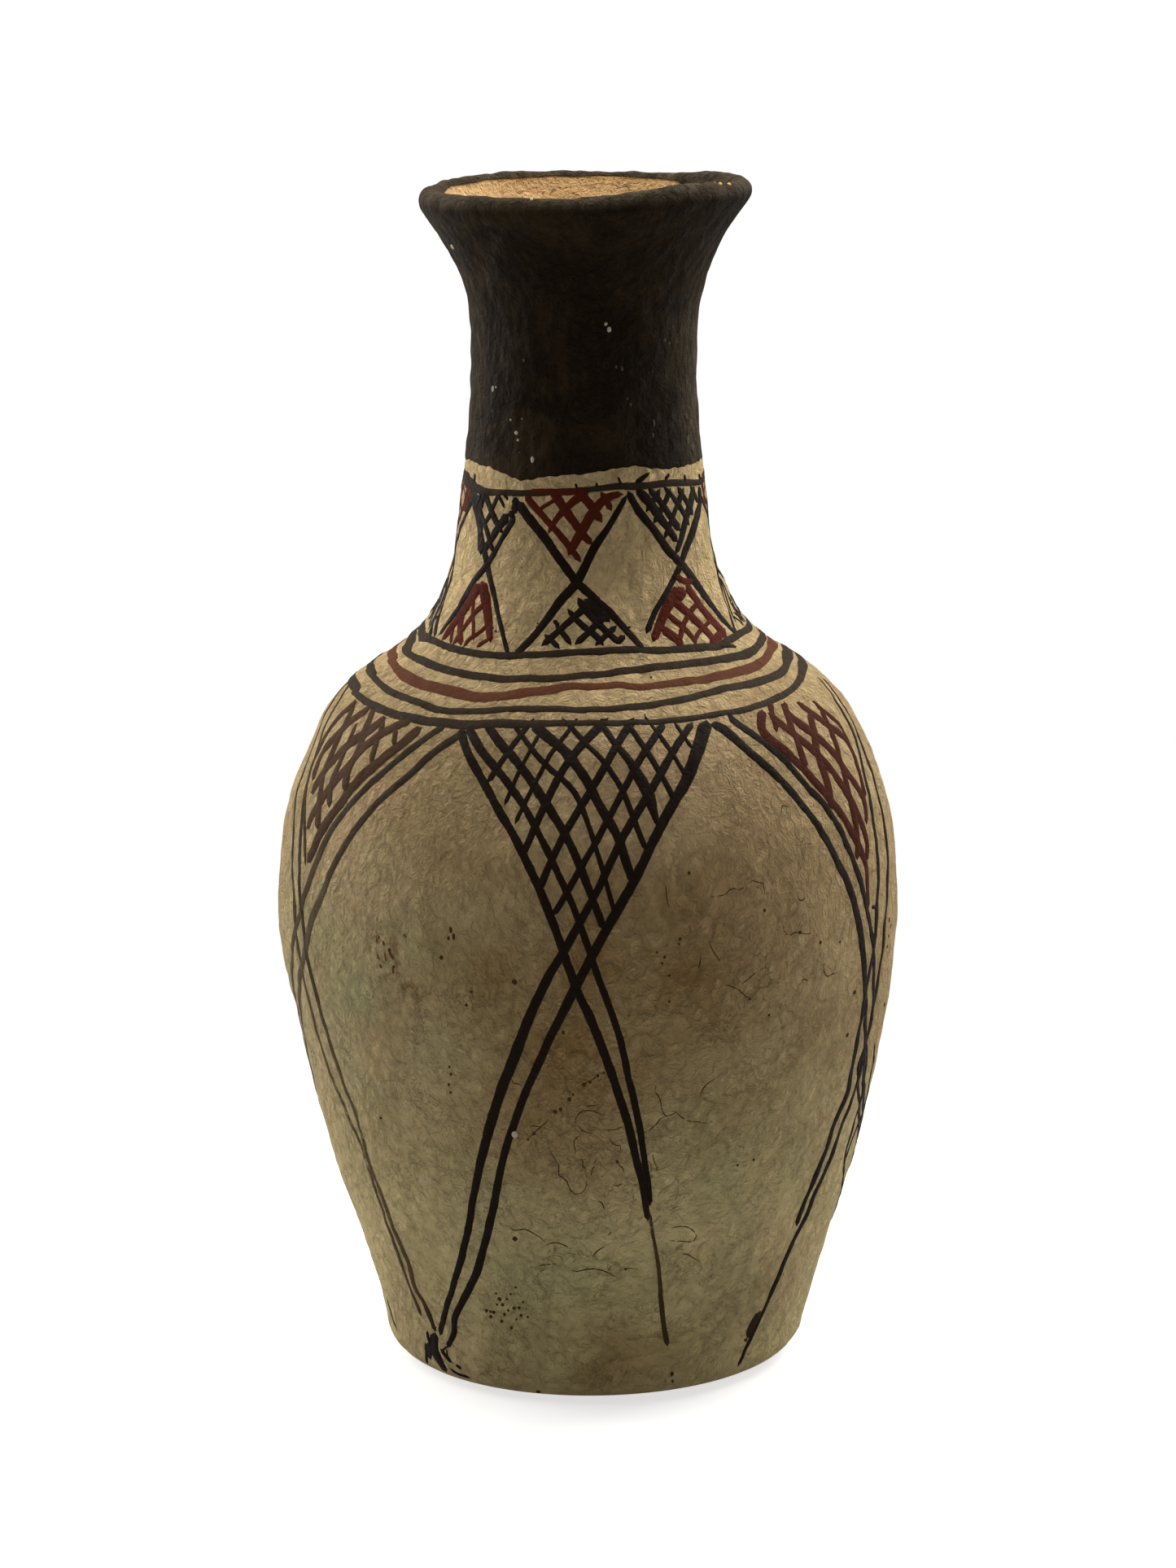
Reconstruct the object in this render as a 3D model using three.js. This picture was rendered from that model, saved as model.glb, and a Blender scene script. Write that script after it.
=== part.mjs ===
import * as THREE from 'three';

// Clay jug, hand-built from a base slab and thirteen flattened coils.
// Millimetres, +Z up. The origin is on the ground, under the middle of the belly.
// The painted front faces -Y.

// Main sizes of the outside
const rimHeight = 292; // Edge of the mouth, below the crest of its lip
const footRadius = 53.1; // Where the first coil stands on the base slab
const bellyRadius = 77.5; // Widest place
const neckRadius = 27.9; // Narrowest place
const mouthRadius = 40.4; // Edge of the mouth
const mouthLean = 1.9; // How far the mouth's middle has crept to +X
const mouthTilt = 0.016; // Rise of the mouth towards +X, in radians

// Thickness of the wall
const footWall = 8;
const mouthWall = 5.4;

// Base slab, the jug's floor and foot
const slabThickness = 9;
const footEdge = 10.6; // How far the rounded edge draws in to the flat circle that touches the ground
const slabLean = 0.32; // Share of mouthLean

// Coils from the ground up. Each one rises from the joint below it to its own top joint.
// top: height of its top joint, as a share of rimHeight
// middle and end: the outside half way up and at the top joint, where 0 is the foot's radius,
//   1 the belly's, 2 the neck's and 3 the mouth's
// wall: thickness at the top joint, where 0 is the foot's and 1 the mouth's
// lean: how far the middle has crept at the top joint, as a share of mouthLean
const coils = [
  { name: 'foot_coil', top: 0.0925, middle: 0.094, end: 0.205, wall: 0.15, lean: 0.47 },
  { name: 'lower_wall_coil_1', top: 0.1678, middle: 0.344, end: 0.484, wall: 0.31, lean: 0.37 },
  { name: 'lower_wall_coil_2', top: 0.25, middle: 0.619, end: 0.734, wall: 0.42, lean: 0.32 },
  { name: 'lower_wall_coil_3', top: 0.3322, middle: 0.832, end: 0.922, wall: 0.54, lean: 0.11 },
  { name: 'belly_coil_1', top: 0.4075, middle: 0.984, end: 1, wall: 0.62, lean: 0 },
  { name: 'belly_coil_2', top: 0.4829, middle: 1.008, end: 1.044, wall: 0.69, lean: 0.05 },
  { name: 'shoulder_coil_1', top: 0.5479, middle: 1.103, end: 1.188, wall: 0.73, lean: 0.26 },
  { name: 'shoulder_coil_2', top: 0.5993, middle: 1.278, end: 1.427, wall: 0.77, lean: 0.26 },
  { name: 'neck_root_coil', top: 0.6507, middle: 1.641, end: 1.772, wall: 0.85, lean: -0.21 },
  { name: 'neck_coil_1', top: 0.7397, middle: 1.901, end: 1.944, wall: 0.88, lean: 0.05 },
  { name: 'neck_coil_2', top: 0.8288, middle: 1.968, end: 1.992, wall: 0.92, lean: 0.16 },
  { name: 'neck_coil_3', top: 0.9178, middle: 2, end: 2.04, wall: 0.96, lean: 0.42 },
  { name: 'rim_coil', top: 1, middle: 2.376, end: 3, wall: 1, lean: 1 },
];

// Joints between coils
const slipGap = 0.3; // Line of luting slip, measured square to the joint
const lap = 5; // How far a joint slants along the wall, so that each coil laps inside the one below

// Fineness of the turned surfaces
const turns = 48;
const outsideSteps = 4;
const insideSteps = 3;
const lipSteps = 5;
const footEdgeSteps = 5;

// Finishes
const creamSlip = { color: 0xc8ae84, roughness: 0.88 };
const darkSlip = { color: 0x2e2722, roughness: 0.8 };
const bareClay = { color: 0xb9845a, roughness: 0.93 };
const darkCoils = ['neck_coil_3', 'rim_coil'];

// Outline of the jug's outside, as a smooth curve through the middle and top of each coil
const mainRadii = [footRadius, bellyRadius, neckRadius, mouthRadius];
const jointHeights = [slabThickness, ...coils.map((coil) => coil.top * rimHeight)];
const stations = [new THREE.Vector2(footRadius, slabThickness)];
for (const [index, coil] of coils.entries()) {
  const middleHeight = (jointHeights[index] + jointHeights[index + 1]) / 2;
  stations.push(new THREE.Vector2(outsideRadius(coil.middle), middleHeight));
  stations.push(new THREE.Vector2(outsideRadius(coil.end), jointHeights[index + 1]));
}
const outline = new THREE.SplineCurve(stations);
const samplesPerSpan = 40;
outline.arcLengthDivisions = (stations.length - 1) * samplesPerSpan;
const runningLengths = outline.getLengths();
const outlineLength = outline.getLength();

// Distance along the outline to joint 0, on the slab, and to the top of each coil
const jointAt = [];
for (let joint = 0; joint <= coils.length; joint += 1) {
  jointAt.push(runningLengths[joint * 2 * samplesPerSpan]);
}

// Wall thickness and lean at each joint
const walls = [footWall, ...coils.map((coil) => THREE.MathUtils.lerp(footWall, mouthWall, coil.wall))];
const leans = [slabLean * mouthLean, ...coils.map((coil) => coil.lean * mouthLean)];

// Radius of the outside for a place from the foot, 0, over belly and neck to the mouth, 3
function outsideRadius(place) {
  const below = Math.min(Math.floor(place), mainRadii.length - 2);
  return THREE.MathUtils.lerp(mainRadii[below], mainRadii[below + 1], place - below);
}

// Value between the entries of a list, for a place between the entries of another list
function valueBetween(places, values, place) {
  let upper = 1;
  while (upper < places.length - 1 && place > places[upper]) upper += 1;
  const share = (place - places[upper - 1]) / (places[upper] - places[upper - 1]);
  return THREE.MathUtils.lerp(values[upper - 1], values[upper], THREE.MathUtils.clamp(share, 0, 1));
}

function outsidePoint(distance) {
  return outline.getPointAt(THREE.MathUtils.clamp(distance / outlineLength, 0, 1));
}

// Direction from the outside into the wall
function inwardDirection(distance) {
  const along = outline.getTangentAt(THREE.MathUtils.clamp(distance / outlineLength, 0, 1));
  return new THREE.Vector2(-along.y, along.x);
}

function insidePoint(distance) {
  const wall = valueBetween(jointAt, walls, distance);
  return outsidePoint(distance).addScaledVector(inwardDirection(distance), wall);
}

// Points of the outside or inside from one distance to another
function pointsAlong(pointAt, start, end, steps) {
  const points = [];
  for (let step = 0; step <= steps; step += 1) {
    points.push(pointAt(THREE.MathUtils.lerp(start, end, step / steps)));
  }
  return points;
}

// Section of one coil: up the outside, over its top joint or the lip, and down the inside.
// A joint runs from the outside, half a lap above its middle, to the inside, half a lap below.
function coilSection(index) {
  const bottom = jointAt[index];
  const top = jointAt[index + 1];
  const bottomSlip = slipGap * Math.hypot(lap, walls[index]) / walls[index] / 2;
  const topSlip = slipGap * Math.hypot(lap, walls[index + 1]) / walls[index + 1] / 2;
  const onSlab = index === 0;
  const atMouth = index === coils.length - 1;
  const outsideStart = onSlab ? bottom + slipGap : bottom + lap / 2 + bottomSlip;
  const insideStart = onSlab ? bottom + slipGap : bottom - lap / 2 + bottomSlip;
  const outsideEnd = atMouth ? top : top + lap / 2 - topSlip;
  const insideEnd = atMouth ? top : top - lap / 2 - topSlip;

  const outside = pointsAlong(outsidePoint, outsideStart, outsideEnd, outsideSteps);
  const inside = pointsAlong(insidePoint, insideEnd, insideStart, insideSteps);
  if (onSlab) inside[insideSteps].y = outside[0].y;
  const section = atMouth ? [...outside, ...lipPoints(), ...inside] : [...outside, ...inside];
  section.push(section[0].clone());
  return section;
}

// Half circle over the lip, from the outside to the inside
function lipPoints() {
  const edge = outsidePoint(outlineLength);
  const inward = inwardDirection(outlineLength);
  const upward = new THREE.Vector2(inward.y, -inward.x);
  const lipRadius = walls[coils.length] / 2;
  const points = [];
  for (let step = 1; step < lipSteps; step += 1) {
    const angle = Math.PI * step / lipSteps;
    const point = edge.clone().addScaledVector(inward, lipRadius * (1 - Math.cos(angle)));
    points.push(point.addScaledVector(upward, lipRadius * Math.sin(angle)));
  }
  return points;
}

// Section of the base slab: flat underside, edge rounded to a quarter of an ellipse, flat top
function slabSection() {
  const contactRadius = footRadius - footEdge;
  const edge = new THREE.EllipseCurve(
    contactRadius, slabThickness, footEdge, slabThickness, -Math.PI / 2, 0,
  );
  return [
    new THREE.Vector2(0, 0),
    ...edge.getPoints(footEdgeSteps),
    new THREE.Vector2(0, slabThickness),
  ];
}

// Turns a section round the jug's middle, and gives it the lean and tilt of the hand-built wall
function turnedPiece(name, section, finish) {
  const geometry = new THREE.LatheGeometry(section, turns);
  geometry.rotateX(Math.PI / 2);
  const position = geometry.attributes.position;
  const tiltStart = jointHeights[coils.length - 1];
  const tiltSpan = rimHeight - tiltStart;
  for (let vertex = 0; vertex < position.count; vertex += 1) {
    const x = position.getX(vertex);
    const z = position.getZ(vertex);
    const tiltShare = Math.max(0, (z - tiltStart) / tiltSpan);
    position.setX(vertex, x + valueBetween(jointHeights, leans, z));
    position.setZ(vertex, z + x * mouthTilt * tiltShare);
  }
  const material = new THREE.MeshStandardMaterial({ ...finish, metalness: 0 });
  const piece = new THREE.Mesh(geometry, material);
  piece.name = name;
  return piece;
}

const jug = new THREE.Group();
jug.add(turnedPiece('base_slab', slabSection(), bareClay));
coils.forEach((coil, index) => {
  const finish = darkCoils.includes(coil.name) ? darkSlip : creamSlip;
  jug.add(turnedPiece(coil.name, coilSection(index), finish));
});

export default jug;
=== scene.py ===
from math import cos, pi, radians, sin, sqrt

import bpy
import numpy as np
from mathutils import Matrix, Vector


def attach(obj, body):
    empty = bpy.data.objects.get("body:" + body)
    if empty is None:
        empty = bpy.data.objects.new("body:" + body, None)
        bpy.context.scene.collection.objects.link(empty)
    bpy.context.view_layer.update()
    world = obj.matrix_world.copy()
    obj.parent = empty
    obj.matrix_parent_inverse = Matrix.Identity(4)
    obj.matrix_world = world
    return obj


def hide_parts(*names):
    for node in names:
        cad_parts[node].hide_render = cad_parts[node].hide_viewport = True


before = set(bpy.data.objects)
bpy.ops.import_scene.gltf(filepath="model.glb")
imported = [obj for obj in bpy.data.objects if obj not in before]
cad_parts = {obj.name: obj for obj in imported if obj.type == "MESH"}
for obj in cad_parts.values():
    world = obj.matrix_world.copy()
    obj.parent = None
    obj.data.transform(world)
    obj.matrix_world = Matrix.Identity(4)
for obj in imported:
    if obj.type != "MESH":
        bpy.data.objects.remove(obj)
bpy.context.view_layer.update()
print("frame loaded:", len(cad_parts), "pieces of clay")

mm = 0.001  # shapes are worked out in millimetres, meshes are in metres


def numbers(text):
    # the numbers in a text, split by spaces and commas
    return np.array(text.replace(",", " ").split(), float)


def addObject(name, data):
    # object that shows the data, in the scene
    obj = bpy.data.objects.new(name, data)
    bpy.context.scene.collection.objects.link(obj)
    return obj


# Camera

camera = {
    "side": 0.37,  # mm, all lengths here
    "distance": 1267.9,
    "height": 404.3,
    "lookHeight": 146.1,
    "roll": 0.0125,  # radians, the jug's top leans left
    "lens": 118.2,
    "sensor": 36,
    "imageWidth": 1445,  # pixels
    "imageHeight": 1927,
}


def cameraAxes():
    # forward from the eye to the look point, then right and up turned by the roll
    eye = np.array([camera["side"], -camera["distance"], camera["height"]])
    forward = np.array([camera["side"], 0, camera["lookHeight"]]) - eye
    forward /= np.linalg.norm(forward)
    right = np.array([1.0, 0, 0])
    up = np.cross(right, forward)
    c, s = cos(camera["roll"]), sin(camera["roll"])
    return eye, right * c - up * s, right * s + up * c, forward


def makeCamera():
    # its axes are right, up and back along the view; clipping in metres
    eye, right, up, forward = cameraAxes()
    data = bpy.data.cameras.new("camera")
    data.sensor_width, data.lens = camera["sensor"], camera["lens"]
    data.clip_start, data.clip_end = 0.05, 20
    obj = addObject("camera", data)
    axes = Matrix((right, up, -forward)).transposed().to_4x4()
    obj.matrix_world = Matrix.Translation(Vector(eye * mm)) @ axes
    bpy.context.scene.camera = obj


makeCamera()

# The wall of the jug, with the CAD's own sizes

wall = {
    "rimHeight": 292,
    "mainRadii": [53.1, 77.5, 27.9, 40.4],  # foot, belly, neck and mouth
    "mouthLean": 1.9,
    "mouthTilt": 0.016,
    "footWall": 8,
    "mouthWall": 5.4,
    "slabThickness": 9,
    "footEdge": 10.6,
    "slabLean": 0.32,
    "slipGap": 0.3,
    "lap": 5,
    # top joint, outside half way up and at the top joint, wall and lean of each coil, as in the CAD
    "coils": """
        foot_coil 0.0925 0.094 0.205 0.15 0.47
        lower_wall_coil_1 0.1678 0.344 0.484 0.31 0.37
        lower_wall_coil_2 0.25 0.619 0.734 0.42 0.32
        lower_wall_coil_3 0.3322 0.832 0.922 0.54 0.11
        belly_coil_1 0.4075 0.984 1 0.62 0
        belly_coil_2 0.4829 1.008 1.044 0.69 0.05
        shoulder_coil_1 0.5479 1.103 1.188 0.73 0.26
        shoulder_coil_2 0.5993 1.278 1.427 0.77 0.26
        neck_root_coil 0.6507 1.641 1.772 0.85 -0.21
        neck_coil_1 0.7397 1.901 1.944 0.88 0.05
        neck_coil_2 0.8288 1.968 1.992 0.92 0.16
        neck_coil_3 0.9178 2 2.04 0.96 0.42
        rim_coil 1 2.376 3 1 1
    """,
}

coilRows = [row.split() for row in wall["coils"].strip().splitlines()]
coilNames = [row[0] for row in coilRows]
coilTable = np.array([row[1:] for row in coilRows], float)
footRadius = wall["mainRadii"][0]
jointHeights = np.append(wall["slabThickness"], coilTable[:, 0] * wall["rimHeight"])
jointWalls = np.interp(np.append(0, coilTable[:, 3]), [0, 1], [wall["footWall"], wall["mouthWall"]])
jointLeans = np.append(wall["slabLean"], coilTable[:, 4]) * wall["mouthLean"]
tiltStart = jointHeights[-2]


def splineThrough(stations, perSpan):
    # Catmull-Rom curve through the stations, with the end stations doubled
    p = np.vstack([stations[:1], stations, stations[-1:]])
    a, b, c, d = p[:-3, None], p[1:-2, None], p[2:-1, None], p[3:, None]
    t = (np.arange(perSpan) / perSpan)[None, :, None]
    start, end = (c - a) / 2, (d - b) / 2
    curve = (2 * b - 2 * c + start + end) * t**3
    curve += (-3 * b + 3 * c - 2 * start - end) * t**2 + start * t + b
    return np.vstack([curve.reshape(-1, 2), stations[-1:]])


def runningLength(line):
    # distance from the first point of a line to each of its points
    return np.append(0, np.cumsum(np.hypot(*np.diff(line, axis=0).T)))


def readLine(places, at, line):
    # a line of two columns, read between its points
    return np.stack([np.interp(places, at, line[:, i]) for i in (0, 1)], -1)


def tangentOf(line):
    # unit vectors along a line: the step between each point's neighbours, over its length
    way = np.gradient(line, axis=0)
    return way / np.linalg.norm(way, axis=1)[:, None]


def makeOutline(perSpan=40):
    # radius and height of the outside up to the edge of the mouth, and the joints' distances along it
    middle = (jointHeights[:-1] + jointHeights[1:]) / 2
    radii = np.interp(coilTable[:, 1:3], [0, 1, 2, 3], wall["mainRadii"])
    stations = np.stack([radii, np.stack([middle, jointHeights[1:]], -1)], -1).reshape(-1, 2)
    line = splineThrough(np.vstack([[footRadius, wall["slabThickness"]], stations]), perSpan)
    length = runningLength(line)
    return line, length, length[:: 2 * perSpan]


outline, outlineLength, jointAt = makeOutline()
outlineTangent = tangentOf(outline)


def outsideAt(distance):
    # point of the outside at a distance along the outline
    return readLine(distance, outlineLength, outline)


def inwardAt(distance):
    # unit vector square to the outline, into the wall
    t = readLine(distance, outlineLength, outlineTangent)
    t /= np.linalg.norm(t, axis=-1)[..., None]
    return np.stack([-t[..., 1], t[..., 0]], -1)


def insideAt(distance):
    # the outside moved into the wall by the wall's thickness there
    thick = np.interp(distance, jointAt, jointWalls)
    return outsideAt(distance) + inwardAt(distance) * np.asarray(thick)[..., None]


def lipArc(steps):
    # half circle from the outside to the inside over the edge of the mouth
    end = outlineLength[-1]
    inward = inwardAt(end)
    upward = np.array([inward[1], -inward[0]])
    radius = wall["mouthWall"] / 2
    angle = np.linspace(0, pi, steps + 1)[1:-1, None]
    return outsideAt(end) + inward * radius * (1 - np.cos(angle)) + upward * radius * np.sin(angle)


def footArc(steps):
    # quarter of an ellipse from the flat circle on the ground to the top edge of the base slab
    angle = np.linspace(-pi / 2, 0, steps + 1)[:, None]
    centre = np.array([footRadius - wall["footEdge"], wall["slabThickness"]])
    return centre + np.hstack([np.cos(angle) * wall["footEdge"], np.sin(angle) * wall["slabThickness"]])


def makeSkinLine(step=0.25, blur=0.6, insideLength=45):
    # one line round the whole skin: rounded foot, outside, lip and down the inside, in even steps
    # and blurred a little; then its outward vectors
    inside = insideAt(np.linspace(outlineLength[-1], outlineLength[-1] - insideLength, 90))
    line = np.vstack([footArc(60)[:-1], outline, lipArc(24), inside])
    length = runningLength(line)
    even = np.arange(0, length[-1], step)
    weights = np.exp(-((np.arange(-8, 9) * step / blur) ** 2) / 2)
    weights /= weights.sum()
    padded = np.pad(readLine(even, length, line), ((8, 8), (0, 0)), mode="reflect", reflect_type="odd")
    line = np.stack([np.convolve(padded[:, i], weights, "valid") for i in (0, 1)], -1)
    tangent = tangentOf(line)
    return even, line, np.stack([tangent[:, 1], -tangent[:, 0]], -1)


skinAt, skinLine, skinNormal = makeSkinLine()
outer = skinAt < skinAt[np.argmax(skinLine[:, 1])]


def alongAtHeight(height):
    # distance along the skin line to a height on the outside
    return np.interp(height, skinLine[outer, 1], skinAt[outer])


def lumps(x, y, z, size, seed, waves=16):
    # sum of sine waves of about one length in seeded directions, mostly between -1 and 1
    draw = np.random.default_rng(seed)
    total = 0
    for i in range(waves):
        way = draw.normal(size=3)
        way *= 2 * pi * draw.uniform(0.7, 1.5) / size / np.linalg.norm(way)
        total = total + np.sin(way[0] * x + way[1] * y + way[2] * z + draw.uniform(0, 2 * pi))
    return total / sqrt(waves)


def smoothStep(low, high, value):
    # 3t² - 2t³ of the share t of the way from low to high
    t = np.clip((value - low) / (high - low), 0, 1)
    return t * t * (3 - 2 * t)


relief = {
    # size of the lumps, their height in millimetres and how flat the pattern is squeezed upright
    "waves": [(60, 0.14, 1), (24, 0.14, 1), (9, 0.11, 0.8), (5, 0.07, 0.7), (3.4, 0.042, 0.7)],
    # swells and hollows that the silhouette shows: degrees round, height, reach and how far out
    "swells": [
        (-85, 173, 15, 1.3), (-88, 189, 10, -1.9), (85, 188, 9, -0.6), (80, 86, 22, 1.0),
        (80, 48, 18, 0.6), (80, 142, 24, 0.6), (-85, 116, 25, 0.4), (-80, 250, 22, -0.45),
        (80, 242, 20, -0.4), (-90, 287, 14, 0.8), (90, 285, 12, -0.5),
    ],
    # the mouth's edge rises and falls: degrees round, half width in degrees, rise
    "mouthWaves": [
        (-152, 26, 0.85), (-117, 20, 0.55), (108, 26, 0.5), (146, 16, -0.35), (-35, 30, 0.3), (42, 34, 1.2)
    ],
    "flatFoot": 8,  # the relief fades out below this height
}


def reliefAt(x, y, z):
    # lumps and swells of the hand-smoothed wall, fading out at the ground
    total = 0
    for i, (size, high, squeeze) in enumerate(relief["waves"]):
        total = total + lumps(x, y, z * squeeze, size, 40 + i) * high
    for degrees, height, reach, out in relief["swells"]:
        r = np.interp(height, outline[:, 1], outline[:, 0])
        far = (x - r * sin(radians(degrees))) ** 2 + (y + r * cos(radians(degrees))) ** 2
        total = total + out * np.exp(-(far + (z - height) ** 2) / reach**2)
    return total * smoothStep(0, relief["flatFoot"], z)


def placed(radius, angle, height):
    # point on the turned form, with the CAD's lean and the tilt of its mouth; angle 0 is the front
    x = radius * np.sin(angle)
    share = np.maximum(0, (height - tiltStart) / (wall["rimHeight"] - tiltStart))
    rise = x * wall["mouthTilt"] * share
    for degrees, wide, high in relief["mouthWaves"]:
        off = (angle - radians(degrees) + pi) % (2 * pi) - pi
        rise = rise + high * share**2 * np.exp(-((off / radians(wide)) ** 2))
    leaning = x + np.interp(height, jointHeights, jointLeans)
    return np.stack([leaning, -radius * np.cos(angle), height + rise], -1)


def onSkin(along):
    # radius and height of places along the skin line
    return np.moveaxis(readLine(along, skinAt, skinLine), -1, 0)


def skin(angle, along, lift=0.0):
    # skin line turned round the axis, then moved out by the relief and the lift
    r, z = onSkin(along)
    nr, nz = np.moveaxis(readLine(along, skinAt, skinNormal), -1, 0)
    out = reliefAt(r * np.sin(angle), -r * np.cos(angle), z) + lift
    return placed(r + nr * out, angle, z + nz * out)


def gridFaces(rows, columns, closed=True):
    # four-sided faces of a grid of points, row by row; its columns close, and its rows where closed
    r = np.arange(rows if closed else rows - 1)[:, None]
    c = np.arange(columns)[None, :]
    r2, c2 = (r + 1) % rows, (c + 1) % columns
    corners = [r * columns + c, r * columns + c2, r2 * columns + c2, r2 * columns + c]
    return np.stack(corners, -1).reshape(-1, 4)


def makePiece(name, points, faces, material):
    # mesh from arrays of points in millimetres and faces, smooth shaded, riding on the jug
    mesh = bpy.data.meshes.new(name)
    mesh.from_pydata((points.reshape(-1, 3) * mm).tolist(), [], [list(map(int, f)) for f in faces])
    mesh.validate()
    mesh.polygons.foreach_set("use_smooth", [True] * len(mesh.polygons))
    mesh.materials.append(material)
    piece = addObject(name, mesh)
    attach(piece, "root")
    return piece


def addAttribute(piece, name, values):
    # one number for each point of a piece, for its shader
    layer = piece.data.attributes.new(name, "FLOAT", "POINT")
    layer.data.foreach_set("value", np.ascontiguousarray(values, np.float32).ravel())


def castPixels(pixels):
    # angle and distance along the skin where the ray of each pixel of the 1445 x 1927 picture first
    # meets the turned outside; a pixel just off the edge takes the nearest place on it
    eye, right, up, forward = cameraAxes()
    focal = camera["lens"] / camera["sensor"] * camera["imageHeight"]
    u = (pixels[:, 0] - camera["imageWidth"] / 2) / focal
    v = (camera["imageHeight"] / 2 - pixels[:, 1]) / focal
    way = forward + u[:, None] * right + v[:, None] * up
    reach = np.linspace(camera["distance"] - 110, camera["distance"] + 110, 900)

    def outsideness(t):
        p = eye + way[:, None] * t[..., None]
        x = p[..., 0] - np.interp(p[..., 2], jointHeights, jointLeans)
        wallRadius = np.interp(p[..., 2], skinLine[outer, 1], skinLine[outer, 0])
        return np.hypot(x, p[..., 1]) - wallRadius, x, p

    gap = outsideness(np.broadcast_to(reach, (len(pixels), reach.size)))[0]
    inside = gap <= 0
    first = np.where(inside.any(1), inside.argmax(1), gap.argmin(1))
    low, high = reach[np.maximum(first - 1, 0)], reach[first]
    for i in range(18):
        half = (low + high) / 2
        g = outsideness(half[:, None])[0][:, 0]
        low, high = np.where(g > 0, half, low), np.where(g > 0, high, half)
    gap, x, p = outsideness(high[:, None])
    return np.arctan2(x[:, 0], -p[:, 0, 1]), alongAtHeight(p[:, 0, 2])


print("wall ready, skin line of", round(float(skinAt[-1])), "mm")

# Shader helpers


class Net:
    # adds nodes to one tree and joins their sockets
    def __init__(self, tree):
        self.tree = tree

    def add(self, kind, values=None, **settings):
        node = self.tree.nodes.new("ShaderNode" + kind)
        for key, value in settings.items():
            setattr(node, key, value)
        for key, value in (values or {}).items():
            self.feed(node.inputs[key], value)
        return node

    def feed(self, socket, value):
        if isinstance(value, bpy.types.NodeSocket):
            self.tree.links.new(value, socket)
        else:
            socket.default_value = value

    def math(self, kind, a, b=0.0):
        return self.add("Math", {0: a, 1: b}, operation=kind).outputs[0]

    def times(self, a, b):
        return self.math("MULTIPLY", a, b)

    def plus(self, a, b):
        return self.math("ADD", a, b)

    def less(self, a, b):
        return self.math("SUBTRACT", a, b)

    def vector(self, kind, a, b=None):
        return self.add("VectorMath", {0: a} if b is None else {0: a, 1: b}, operation=kind)

    def scaled(self, vector, x, y, z):
        return self.add("Mapping", {"Vector": vector, "Scale": (x, y, z)}).outputs[0]

    def mix(self, share, a, b):
        values = {"Factor": share, 6: a, 7: b}
        return self.add("Mix", values, data_type="RGBA").outputs[2]

    def layered(self, colour, *layers):
        # colours laid over one another by their shares
        for share, tone in layers:
            colour = self.mix(share, colour, tone)
        return colour

    def noise(self, vector, scale, detail=2.0, rough=0.5, distort=0.0):
        values = {"Vector": vector, "Scale": scale, "Detail": detail}
        values |= {"Roughness": rough, "Distortion": distort}
        return self.add("TexNoise", values).outputs["Fac"]

    def ramp(self, value, low, high, to0=0.0, to1=1.0):
        values = {"Value": value, "From Min": low, "From Max": high, "To Min": to0, "To Max": to1}
        return self.add("MapRange", values, interpolation_type="SMOOTHSTEP").outputs["Result"]

    def attribute(self, name):
        return self.add("Attribute", attribute_name=name).outputs["Fac"]

    def group(self, tree, **values):
        return self.add("Group", values, node_tree=tree).outputs

    def bump(self, height, distance, strength=1.0):
        values = {"Height": height, "Distance": distance, "Strength": strength}
        return self.add("Bump", values).outputs["Normal"]


def newGroup(name, inputs, outputs):
    # node group with a vector and one number going in, and masks or heights coming out
    group = bpy.data.node_groups.new(name, "ShaderNodeTree")
    for key, value in {"Vector": None, **inputs}.items():
        kind = "NodeSocketVector" if value is None else "NodeSocketFloat"
        socket = group.interface.new_socket(key, in_out="INPUT", socket_type=kind)
        if value is not None:
            socket.default_value = value
    for key in outputs:
        group.interface.new_socket(key, in_out="OUTPUT", socket_type="NodeSocketFloat")
    source, out = group.nodes.new("NodeGroupInput"), group.nodes.new("NodeGroupOutput")
    return group, Net(group), source.outputs[0], source.outputs[1], out.inputs


def rgb(red, green, blue):
    # colour as it is seen on a screen, 0 to 255, to the linear values a shader takes
    c = np.array([red, green, blue]) / 255
    c = np.where(c <= 0.04045, c / 12.92, ((c + 0.055) / 1.055) ** 2.4)
    return (*[float(v) for v in c], 1.0)


# Grain, wrinkles and craze, shared by the slips, the bare clay and the paint


def makeGrainGroup():
    # smeared grain: two sizes of noise on object coordinates, and the pits between the lumps
    group, net, vector, size, out = newGroup("smeared grain", {"Size": 1.0}, ["Height", "Pits"])
    coarse = net.noise(vector, net.times(size, 640), 3, 0.6, 0.6)
    fine = net.noise(vector, net.times(size, 1500), 3, 0.6, 0.3)
    net.feed(out["Height"], net.plus(net.times(coarse, 0.7), net.times(fine, 0.3)))
    net.feed(out["Pits"], net.ramp(net.noise(vector, net.times(size, 260), 4, 0.6, 1.5), 0.36, 0.26))
    return group


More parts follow.
